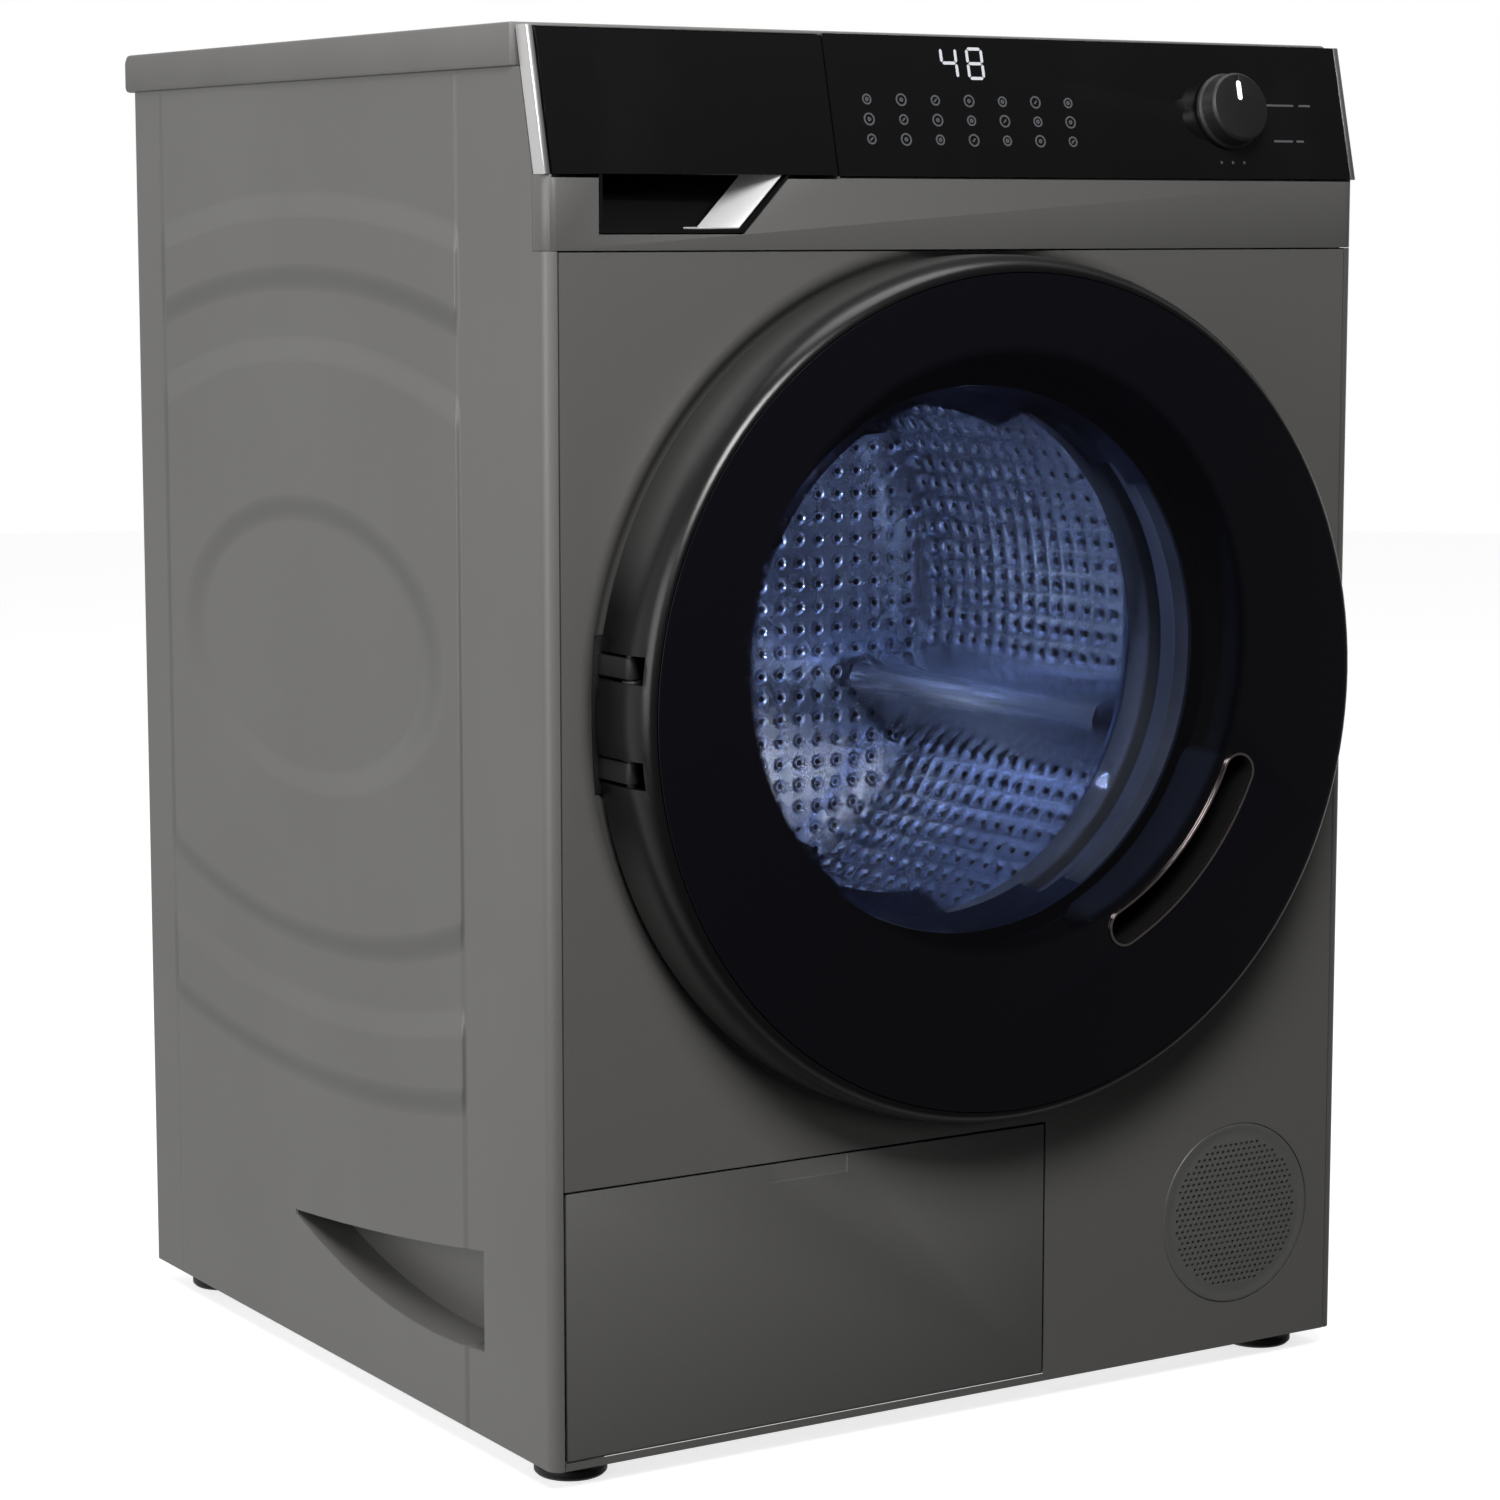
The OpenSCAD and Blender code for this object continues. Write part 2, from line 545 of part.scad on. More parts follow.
// One levelling foot: pad, hex and threaded stud
module foot(x, y) color([0.08, 0.08, 0.08]) {
    translate([x, y, 0]) rotate_extrude() polygon([[0, 0], [20, 0], [22, 2], [22, 6], [12, 9], [0, 9]]);
    translate([x, y, 8]) cylinder(r = 9.8, h = 5, $fn = 6);
    rod_z(5, 9, 46, x, y);
}

// ---------------------------------------------------------------- door hinge and lock on the cabinet

module hinge_bracket() color([0.12, 0.12, 0.12]) {
    box(hinge_x - 8, -205, floor_y - 3, floor_y, door_z - 46, door_z + 46);
    for (s = [-1, 1]) {
        box(hinge_x - 4.5, hinge_x + 4.5, hinge_y, floor_y - 2, door_z + s * 30 - 6, door_z + s * 30 + 6);
        rod_z(4.5, door_z + s * 30 - 6, door_z + s * 30 + 6, hinge_x, hinge_y);
    }
    rod_z(pin_r, door_z - 38, door_z + 38, hinge_x, hinge_y);
}

module door_lock() color([0.15, 0.15, 0.15]) difference() {
    box(latch_x - 26, latch_x + 26, floor_y + 1, floor_y + 32, door_z - 24, door_z + 28);
    box(latch_x - 18, latch_x + 13, floor_y, floor_y + 22, door_z - 13, door_z + 13);
}

// ---------------------------------------------------------------- rubber bellows of the mouth

module gasket() color([0.35, 0.35, 0.37]) turned_y([
    [mouth_r - 0.3, floor_y - 3], [mouth_r - 0.3, floor_y + 11], [mouth_r + 4, floor_y + 11],
    [mouth_r + 4, floor_y + 14], [mouth_r - 4, floor_y + 14], [mouth_r - 4, floor_y + 24], [mouth_r + 12, floor_y + 26],
    [mouth_r + 12, floor_y + 34], [mouth_r - 8, floor_y + 36], [mouth_r - 8, floor_y + 52], [mouth_r + 6.7, floor_y + 52],
    [mouth_r + 6.7, floor_y + 55], [mouth_r - 11, floor_y + 55], [mouth_r - 11, floor_y + 33],
    [mouth_r + 9, floor_y + 31], [mouth_r + 9, floor_y + 29], [mouth_r - 7, floor_y + 27], [mouth_r - 7, floor_y + 12],
    [mouth_r - 10.5, floor_y + 6], [mouth_r - 9, floor_y + 4], [mouth_r - 4, floor_y - 3]], drum_z);

// ---------------------------------------------------------------- tub and what hangs on it

module tub_ear(s) {
    box(s * spring_x - 9, s * spring_x + 9, spring_y - 5, spring_y + 5, drum_z + 130, drum_z + 212);
}

module tub_foot(s) {
    box(s * damper_x - 12, s * damper_x + 12, damper_y - 6, damper_y + 6, drum_z - 222, drum_z - 180);
}

module tub_front() color([0.82, 0.82, 0.8]) difference() {
    union() {
        rod_y(tub_r, tub_y0, tub_split, 0, drum_z);
        rod_y(tub_r + 6, tub_split - 10, tub_split, 0, drum_z);
        rod_y(mouth_r + 12, tub_y0 - 16, tub_y0 + 1, 0, drum_z);
        tub_foot(-1);
        tub_foot(1);
        rod_z(26, drum_z - 270, drum_z - 230, pump_x, pump_y0 + 54);
        rod_z(18, drum_z + 190, fill_z, fill_x, fill_y);
    }
    rod_y(tub_r - tub_t, tub_y0 + tub_t, tub_split + 1, 0, drum_z);
    rod_z(12, drum_z + 180, fill_z + 5, fill_x, fill_y);
    rod_y(mouth_r + 8, tub_y0 - 20, tub_y0 + 10, 0, drum_z);
    rod_z(20, drum_z - 280, drum_z - 225, pump_x, pump_y0 + 54);
}

module tub_rear() color([0.78, 0.78, 0.76]) difference() {
    union() {
        rod_y(tub_r, tub_split, tub_y1, 0, drum_z);
        rod_y(tub_r + 6, tub_split, tub_split + 10, 0, drum_z);
        rod_y(46, tub_y1 - 8, tub_y1 + 36, 0, drum_z);
        for (i = [0:11]) translate([0, 0, drum_z]) rotate([0, 30 * i + 15, 0])
            box(40, tub_r - 2, tub_y1 - 1, tub_y1 + 12, -2, 2);
        tub_ear(-1);
        tub_ear(1);
        for (y = [tub_y1 - 120, tub_y1 - 30]) box(motor_x - 30, motor_x + 30, y, y + 10, motor_z + motor_r - 4, drum_z - 240);
    }
    rod_y(tub_r - tub_t, tub_split - 1, tub_y1 - 4, 0, drum_z);
    rod_y(32, tub_y1 - 10, tub_y1, 0, drum_z);
    rod_y(31, tub_y1 - 1, tub_y1 + 16, 0, drum_z);
    rod_y(20, tub_y1 + 15, tub_y1 + 21, 0, drum_z);
    rod_y(26, tub_y1 + 20, tub_y1 + 40, 0, drum_z);
    for (s = [-1, 1]) rod_y(3.5, spring_y - 10, spring_y + 10, s * spring_x, drum_z + 205);
    rod_y(motor_r, tub_y1 - 140, tub_y1 + 4, motor_x, motor_z);
}

module front_counterweight() color([0.6, 0.6, 0.57]) difference() {
    rod_y(236, tub_y0 - 34, tub_y0 - 0.2, 0, drum_z);
    rod_y(mouth_r + 14, tub_y0 - 40, tub_y0 + 5, 0, drum_z);
    box(-300, 300, tub_y0 - 50, tub_y0 + 5, 0, drum_z + 70);
    for (a = [35, 90, 145]) rod_y(6, tub_y0 - 50, tub_y0 + 5, 214 * cos(a), drum_z + 214 * sin(a));
}

module top_counterweight() color([0.6, 0.6, 0.57]) difference() {
    box(-70, 150, -150, 20, drum_z + 190, drum_z + 300);
    rod_y(tub_r + 0.5, -160, tub_split - 10.2, 0, drum_z);
    rod_y(tub_r + 6.5, -160, 30, 0, drum_z);
    for (x = [-40, 120]) rod_z(6, drum_z + 180, drum_z + 320, x, -65);
}

module drum_bearings() color("silver") {
    ring_y(31, shaft_r1, tub_y1, tub_y1 + 15, 0, drum_z);
    ring_y(26, shaft_r2, tub_y1 + 21, tub_y1 + 35, 0, drum_z);
}

// U-shaped immersion heater lying in the bottom of the tub
module heater() color("silver") {
    for (x = [-24, 24]) rod_y(4, tub_y0 + 40, tub_y1 - 4, x, drum_z - 253.5);
    rod_x(4, -24, 24, tub_y0 + 40, drum_z - 253.5);
    for (x = [-24, 24]) translate([x, tub_y0 + 40, drum_z - 253.5]) sphere(r = 4, $fn = 32);
}

module motor_body() color([0.55, 0.56, 0.58]) difference() {
    union() {
        rod_y(motor_r - 0.1, tub_y1 - 138, tub_y1 + 2, motor_x, motor_z);
        rod_y(30, tub_y1 + 2, tub_y1 + 12, motor_x, motor_z);
    }
    rod_y(6 + run_gap, tub_y1 - 60, tub_y1 + 30, motor_x, motor_z);
}

module motor_pulley() color("silver") {
    rod_y(6, tub_y1 - 50, pulley_y + 18, motor_x, motor_z);
    rod_y(rotor_r, pulley_y, pulley_y + 17, motor_x, motor_z);
}

// Flat loop over both pulleys, g outside their rims
function belt_loop(g) =
    let (dx = motor_x, dz = motor_z - drum_z, span = norm([dx, dz]), lie = atan2(dz, dx),
         fan = acos((pulley_r - rotor_r) / span), n = 36)
    concat([for (i = [0:n]) let (a = lie + fan + (360 - 2 * fan) * i / n)
                [(pulley_r + g) * cos(a), drum_z + (pulley_r + g) * sin(a)]],
           [for (i = [0:8]) let (a = lie - fan + 2 * fan * i / 8)
                [motor_x + (rotor_r + g) * cos(a), motor_z + (rotor_r + g) * sin(a)]]);

module drive_belt() color([0.07, 0.07, 0.07]) difference() {
    along_y(belt_loop(3.2), pulley_y + 2, pulley_y + 14);
    along_y(belt_loop(0.4), pulley_y + 1, pulley_y + 15);
}

damper_top = drum_z - 222;
module damper_cylinders() color([0.2, 0.2, 0.2]) for (s = [-1, 1]) {
    ring_z(14, 7, base_top + 6, 140, s * damper_x, damper_y);
    rod_z(18, base_top, base_top + 8, s * damper_x, damper_y);
}

module damper_rods() color("silver") for (s = [-1, 1]) {
    rod_z(6.9, 90, damper_top, s * damper_x, damper_y);
}

// Two close-wound coil springs, each one swept round its helix
spring_turns = 11;
spring_z0 = drum_z + 216;
spring_z1 = top_z - 22;
function helix_ring(i, n, x, wire, coil) =
    let (t = i / n, a = 360 * spring_turns * t, c = [x + coil * cos(a), spring_y + coil * sin(a),
         spring_z0 + (spring_z1 - spring_z0) * t])
    [for (k = [0:5]) let (b = 60 * k) c + wire * cos(b) * [cos(a), sin(a), 0] + wire * sin(b) * [0, 0, 1]];

module suspension_springs() color("silver") for (s = [-1, 1]) {
    n = spring_turns * 14;
    points = [for (i = [0:n]) each helix_ring(i, n, s * spring_x, 1.9, 10)];
    sides = [for (i = [0:n - 1], k = [0:5]) let (k2 = (k + 1) % 6) [6 * i + k, 6 * i + k2, 6 * i + 6 + k2, 6 * i + 6 + k]];
    polyhedron(points, concat([[5, 4, 3, 2, 1, 0]], sides, [[for (k = [0:5]) 6 * n + k]]));
}

module bellows(x, y, r, z0, z1, folds) {
    pitch = (z1 - z0) / folds;
    difference() {
        translate([x, y, 0]) rotate_extrude() polygon(concat([[0, z0]],
            [for (i = [0:folds - 1]) each [[r - 2, z0 + i * pitch], [r + 1, z0 + (i + 0.5) * pitch]]],
            [[r - 2, z1], [0, z1]]));
        rod_z(r - 5, z0 - 1, z1 + 1, x, y);
    }
}

module tub_hoses() color([0.15, 0.15, 0.15]) {
    bellows(pump_x, pump_y0 + 54, 22, pump_z + 52.3, drum_z - 270.3, 6);
    bellows(fill_x, fill_y, 17, fill_z + 0.3, tray_z0 - 38.3, 2);
}

// ---------------------------------------------------------------- drum

module drum_shell() color([0.75, 0.76, 0.78]) turned_y([
    [mouth_r + 2, drum_y0 + 6], [mouth_r + 2, drum_y0 + 1], [mouth_r + 4, drum_y0 - 1], [drum_r - 16, drum_y0 + 4],
    [drum_r - 5, drum_y0 + 9], [drum_r, drum_y0 + 20], [drum_r, drum_y1], [drum_r - 1.2, drum_y1],
    [drum_r - 1.2, drum_y0 + 20.3], [drum_r - 6, drum_y0 + 10], [drum_r - 16.6, drum_y0 + 5.2],
    [mouth_r + 4.4, drum_y0 + 0.6], [mouth_r + 3.2, drum_y0 + 1.6], [mouth_r + 3.2, drum_y0 + 6]], drum_z);

module drum_back() color([0.72, 0.73, 0.75]) turned_y([
    [0, drum_y1 - 12], [70, drum_y1 - 12], [90, drum_y1 - 4], [drum_r - 30, drum_y1 - 4], [drum_r - 20, drum_y1 - 1.5],
    [drum_r - 1.3, drum_y1 - 1.5], [drum_r - 1.3, drum_y1], [drum_r - 20.4, drum_y1], [drum_r - 30.2, drum_y1 - 2.5],
    [89.6, drum_y1 - 2.5], [69.6, drum_y1 - 10.5], [0, drum_y1 - 10.5]], drum_z);

lifter_a = [-18, 102, 222];
lifter_r = drum_r - 1.4;
// Hollow-looking lifter: a tapered ridge along the drum with a rounded crest
module lifter(a) translate([0, 0, drum_z]) rotate([0, -a, 0]) {
    rise = [0, 0.42, 0.8, 0.96, 1];
    half = [34, 22, 14, 9, 4];
    intersection() {
        along_y(concat([for (i = [0:4]) [lifter_r - 2.2 - lifter_h * rise[i], -half[i]]],
                       [for (i = [4:-1:0]) [lifter_r - 2.2 - lifter_h * rise[i], half[i]]]),
                drum_y0 + 30, drum_y1 - 14);
        rod_y(lifter_r, drum_y0, drum_y1, 0, 0);
    }
}

module lifters() color([0.85, 0.87, 0.9]) for (a = lifter_a) lifter(a);

module drum_spider() color([0.6, 0.6, 0.62]) {
    rod_y(36, drum_y1 + 0.2, drum_y1 + 15, 0, drum_z);
    for (a = lifter_a) translate([0, 0, drum_z]) rotate([0, -a, 0]) {
        box(20, drum_r - 12, drum_y1 + 1, drum_y1 + 13, -14, 14);
        box(drum_r - 32, drum_r - 12, drum_y1 + 0.1, drum_y1 + 13, -20, 20);
    }
    rod_y(shaft_r1 - run_gap, drum_y1 + 14, tub_y1 + 17, 0, drum_z);
    rod_y(shaft_r2 - run_gap, tub_y1 + 16, tub_y1 + 37, 0, drum_z);
    rod_y(10, tub_y1 + 36, pulley_y + 18, 0, drum_z);
}

module drum_pulley() color([0.5, 0.5, 0.52]) difference() {
    union() {
        ring_y(pulley_r, pulley_r - 5, pulley_y, pulley_y + 16, 0, drum_z);
        rod_y(26, pulley_y - 1, pulley_y + 17, 0, drum_z);
        for (i = [0:7]) translate([0, 0, drum_z]) rotate([0, 45 * i, 0])
            box(20, pulley_r - 3, pulley_y + 4, pulley_y + 10, -9, 9);
    }
    rod_y(10, pulley_y - 5, pulley_y + 30, 0, drum_z);
}

// ---------------------------------------------------------------- door

handle_r0 = 172;
handle_r1 = 193;
handle_a0 = -64;
handle_a1 = -24;

// Solid of the curved finger slot, grown by g, from y0 to y1
module handle_slot(g, y0, y1) translate([0, y0, drum_z]) rotate([-90, 0, 0]) {
    mid = (handle_r0 + handle_r1) / 2;
    half = (handle_r1 - handle_r0) / 2 + g;
    intersection() {
        difference() {
            cylinder(r = mid + half, h = y1 - y0);
            translate([0, 0, -1]) cylinder(r = mid - half, h = y1 - y0 + 2);
        }
        linear_extrude(y1 - y0) polygon([[0, 0], 400 * [cos(handle_a0), -sin(handle_a0)],
                                         400 * [cos(handle_a1), -sin(handle_a1)]]);
    }
    for (a = [handle_a0, handle_a1]) translate(mid * [cos(a), -sin(a), 0]) cylinder(r = half, h = y1 - y0);
}

module door_bezel() color([0.04, 0.04, 0.04]) difference() {
    turned_y(concat([[door_r, door_back]],
        [for (a = [0:15:90]) [door_r - 10 + 10 * cos(a), front_y - 27 - 22.2 * sin(a)]],
        [[door_r - 10, door_front + glass_t + 0.3], [door_r - 18, door_front + glass_t + 0.3],
         [door_r - 18, door_front + 8], [door_r - 9, door_front + 10], [door_r - 4.5, front_y - 32],
         [door_r - 3, front_y - 26], [door_r - 3, door_back]]), door_z);
    for (s = [-1, 1]) box(-door_r - 1, hinge_x + 8, front_y - 43, front_y + 10, door_z + s * 30 - 8, door_z + s * 30 + 8);
    rod_z(6, door_z - 24, door_z + 24, hinge_x, hinge_y);
}

module door_glass() color([0.05, 0.05, 0.07, 0.6]) difference() {
    rod_y(door_r - 10.4, door_front, door_front + glass_t, 0, door_z);
    handle_slot(1.6, door_front - 5, door_front + 10);
}

// Black frame behind the glass: a back plate, a flared funnel from the glass to the bowl, and the finger cup
module door_inner_frame() color([0.05, 0.05, 0.05]) {
    difference() {
        union() {
            rod_y(door_r - 3.3, frame_front, door_back, 0, door_z);
            turned_y([[mouth_r, frame_front], [216, front_y - 43], [218, front_y - 43], [mouth_r + 3, frame_front + 1]],
                     drum_z);
            for (s = [-1, 1])
                box(latch_x - 8, latch_x + 8, latch_y - 6, frame_front + 1, door_z + s * 14 - 2, door_z + s * 14 + 2);
        }
        rod_y(mouth_r - 11, front_y - 20, front_y + 10, 0, drum_z);
        rod_y(mouth_r - 1, front_y - 20, frame_front + 0.01, 0, drum_z);
        box(-door_r - 5, hinge_x + 12, front_y - 45, front_y + 10, door_z - 50, door_z + 50);
        box(latch_x - 12, latch_x + 8, frame_front - 1, front_y + 10, door_z - 12, door_z + 12);
        handle_slot(0, door_front, front_y - 20);
    }
    rod_z(2.5, door_z - 14, door_z + 14, latch_x, latch_y);
    // finger cup and the hollow block that carries it
    difference() {
        handle_slot(1.2, door_front + 1, frame_front + 0.5);
        handle_slot(-1, door_front - 1, front_y - 22);
        handle_slot(-1, front_y - 20, frame_front + 1);
        rod_y(mouth_r - 1, frame_front - 4.5, frame_front + 1, 0, drum_z);
    }
}

// Clear bowl that closes the mouth, clamped by its flange
module door_bowl() color([0.8, 0.85, 0.9, 0.35]) turned_y([
    [mouth_r - 2, frame_front - 4], [mouth_r - 2, frame_front], [mouth_r - 11.5, frame_front],
    [mouth_r - 12.5, front_y + 20], [mouth_r - 15, front_y + 42], [mouth_r - 26, front_y + 72],
    [mouth_r - 44, front_y + 94], [mouth_r - 70, front_y + 106], [mouth_r - 110, front_y + 111], [0, front_y + 112],
    [0, front_y + 108], [mouth_r - 110, front_y + 107], [mouth_r - 71.5, front_y + 102.2], [mouth_r - 46.5, front_y + 91],
    [mouth_r - 29.6, front_y + 70], [mouth_r - 19, front_y + 41], [mouth_r - 16.5, front_y + 20],
    [mouth_r - 15.5, frame_front - 4]], drum_z);

module hinge_arm() color([0.5, 0.5, 0.52]) difference() {
    union() {
        rod_z(5.5, door_z - 23, door_z + 23, hinge_x, hinge_y);
        box(hinge_x, hinge_x + 36, hinge_y - 2, hinge_y + 2, door_z - 23, door_z + 23);
        box(hinge_x + 32, hinge_x + 36, hinge_y - 2, frame_front, door_z - 23, door_z + 23);
        box(hinge_x + 14, hinge_x + 36, frame_front - 2.5, frame_front, door_z - 23, door_z + 23);
    }
    rod_z(pin_r + run_gap, door_z - 30, door_z + 30, hinge_x, hinge_y);
}

module handle_trim() color([0.8, 0.76, 0.76]) difference() {
    handle_slot(1.5, door_front - 1, door_front + 1);
    handle_slot(-0.2, door_front - 2, door_front + 2);
}

module latch_hook() color("silver") difference() {
    union() {
        box(latch_x - 4, latch_x + 4, latch_y - 5, floor_y + 14, door_z - 8, door_z + 8);
        box(latch_x - 10, latch_x + 4, floor_y + 9, floor_y + 14, door_z - 8, door_z + 8);
    }
    rod_z(2.5 + run_gap, door_z - 20, door_z + 20, latch_x, latch_y);
}

// ---------------------------------------------------------------- which piece to draw

base_pan();
left_side_panel();
right_side_panel();
rear_panel();
rear_cover();
transit_caps();
front_panel();
vent_grille();
frame_braces();
worktop();
fascia_housing();
end_trims();
control_glass();
display_board();
inverter_box();
dispenser_housing();
inlet_valve();
power_gland();
pump_housing();
drain_hose();
hinge_bracket();
door_lock();
flap_brackets();
damper_cylinders();
gasket();
tub_front();
tub_rear();
front_counterweight();
top_counterweight();
drum_bearings();
heater();
motor_body();
drive_belt();
damper_rods();
suspension_springs();
tub_hoses();
drum_shell();
drum_back();
lifters();
drum_spider();
drum_pulley();
motor_pulley();
door_bezel();
door_glass();
door_inner_frame();
door_bowl();
hinge_arm();
handle_trim();
latch_hook();
drawer_front();
drawer_tray();
siphon_cap();
program_knob();
service_flap();
filter_cap();
pump_impeller();
foot(-foot_x, front_y + foot_in);  // foot_front_left
foot(foot_x, front_y + foot_in);  // foot_front_right
foot(-foot_x, back_y - foot_in);  // foot_rear_left
foot(foot_x, back_y - foot_in);  // foot_rear_right
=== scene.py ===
"""A front load washing machine: painted steel cabinet, smoke glass door, leaning black panel and lit drum."""

import json
import math

import bpy
import mathutils
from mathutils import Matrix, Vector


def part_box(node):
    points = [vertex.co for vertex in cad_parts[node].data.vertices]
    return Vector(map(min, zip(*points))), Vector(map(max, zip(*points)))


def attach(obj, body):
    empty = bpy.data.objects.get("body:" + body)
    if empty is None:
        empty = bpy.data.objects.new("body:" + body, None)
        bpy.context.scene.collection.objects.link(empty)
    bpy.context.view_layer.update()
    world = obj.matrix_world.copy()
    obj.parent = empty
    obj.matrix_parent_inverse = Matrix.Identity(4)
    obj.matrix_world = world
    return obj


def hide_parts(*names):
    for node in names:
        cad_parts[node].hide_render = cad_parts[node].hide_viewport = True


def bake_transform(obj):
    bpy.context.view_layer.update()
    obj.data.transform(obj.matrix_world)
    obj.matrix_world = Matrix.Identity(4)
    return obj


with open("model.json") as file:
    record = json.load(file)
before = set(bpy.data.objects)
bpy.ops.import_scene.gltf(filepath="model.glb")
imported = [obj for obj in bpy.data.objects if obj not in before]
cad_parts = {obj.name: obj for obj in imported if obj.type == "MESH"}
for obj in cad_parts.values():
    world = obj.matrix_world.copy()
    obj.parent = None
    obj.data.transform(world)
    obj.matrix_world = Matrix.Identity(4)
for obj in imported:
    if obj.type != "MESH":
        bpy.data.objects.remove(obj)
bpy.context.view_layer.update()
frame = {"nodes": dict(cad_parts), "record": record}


# ---------------------------------------------------------------- studio
# The machine stands on a pale floor in front of a white surround. A wide soft light stands to its left,
# a smaller one in front of it and a third above.

MM = 0.001  # metres in a millimetre
front_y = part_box("front_panel")[0].y
camera_at = (-1.370, front_y - 1.937, 0.738)
camera_yaw = math.radians(32.0)
camera_pitch = math.radians(7.66)
camera_lens = 94.2


def area_light(name, at, aim, size, power):
    """A square soft light that looks at a point."""
    bpy.ops.object.light_add(type="AREA", location=at)
    light = bpy.context.object
    light.name = name
    light.data.size = size
    light.data.energy = power
    toward = mathutils.Vector(aim) - light.location
    light.rotation_euler = toward.to_track_quat("-Z", "Y").to_euler()


scene = bpy.context.scene
scene.view_settings.view_transform = "Standard"
bpy.ops.object.camera_add(location=camera_at, rotation=(math.pi / 2 - camera_pitch, 0, -camera_yaw))
scene.camera = bpy.context.object
scene.camera.data.lens = camera_lens

scene.world = scene.world or bpy.data.worlds.new("surround")
scene.world.use_nodes = True
sky = scene.world.node_tree
direction = sky.nodes.new("ShaderNodeTexCoord")
parts = sky.nodes.new("ShaderNodeSeparateXYZ")
sky.links.new(direction.outputs["Generated"], parts.inputs[0])
behind = sky.nodes.new("ShaderNodeMapRange")
for value, number in {"From Min": -0.3, "From Max": 0.6, "To Min": 0.05, "To Max": 0.7}.items():
    behind.inputs[value].default_value = number
sky.links.new(parts.outputs["Y"], behind.inputs["Value"])
seen = sky.nodes.new("ShaderNodeLightPath")
paper = sky.nodes.new("ShaderNodeMath")
paper.operation = "MAXIMUM"
sky.links.new(seen.outputs["Is Camera Ray"], paper.inputs[0])
sky.links.new(behind.outputs[0], paper.inputs[1])
sky.links.new(paper.outputs[0], sky.nodes["Background"].inputs["Strength"])
sky.nodes["Background"].inputs["Color"].default_value = (1, 1, 1, 1)

area_light("left_softbox", (-2.9, -1.1, 1.0), (0, 0, 0.5), 1.7, 30)
area_light("front_softbox", (-0.9, -1.8, 2.0), (-0.1, -0.3, 0.7), 0.9, 60)
area_light("top_softbox", (0.2, 0.2, 3.2), (0, 0, 0.85), 1.8, 30)

# The floor is a wide matt disc, kept out of the mirror-like glass.
bpy.ops.object.select_all(action="DESELECT")
bpy.ops.mesh.primitive_circle_add(vertices=128, radius=7, fill_type="NGON")
floor = bpy.context.object
floor.name = "floor"
floor.visible_glossy = floor.visible_diffuse = False
pale = bpy.data.materials.new("pale_floor")
pale.use_nodes = True
floor_shader = pale.node_tree.nodes["Principled BSDF"]
for socket, value in {"Base Color": (0.6, 0.6, 0.6, 1), "Roughness": 0.9, "Emission Color": (1, 1, 1, 1),
                      "Emission Strength": 0.74}.items():
    floor_shader.inputs[socket].default_value = value
floor.data.materials.append(pale)


# ---------------------------------------------------------------- painted cabinet panels
# The sides, the back and the front are folded steel sheet, stoved with a fine metallic paint. The sides are
# pressed with oval steps. The worktop is a board faced with laminate, and the hidden braces are galvanised.


class Wire:
    """A node's output. Sums and products of wires and numbers add Math nodes."""

    def __init__(self, finish, socket):
        self.finish = finish
        self.socket = socket

    def maths(self, operation, first, second):
        return self.finish.node("ShaderNodeMath", {"operation": operation}, {0: first, 1: second})

    def __add__(self, other):
        return self.maths("ADD", self, other)

    def __radd__(self, other):
        return self.maths("ADD", other, self)

    def __sub__(self, other):
        return self.maths("SUBTRACT", self, other)

    def __rsub__(self, other):
        return self.maths("SUBTRACT", other, self)

    def __mul__(self, other):
        return self.maths("MULTIPLY", self, other)

    def __rmul__(self, other):
        return self.maths("MULTIPLY", other, self)

    def above(self, level, softness):
        """0 below the level, 1 above it, with a soft edge."""
        settings = {"interpolation_type": "SMOOTHSTEP"}
        values = {"Value": self, "From Min": level - softness, "From Max": level + softness}
        return self.finish.node("ShaderNodeMapRange", settings, values)


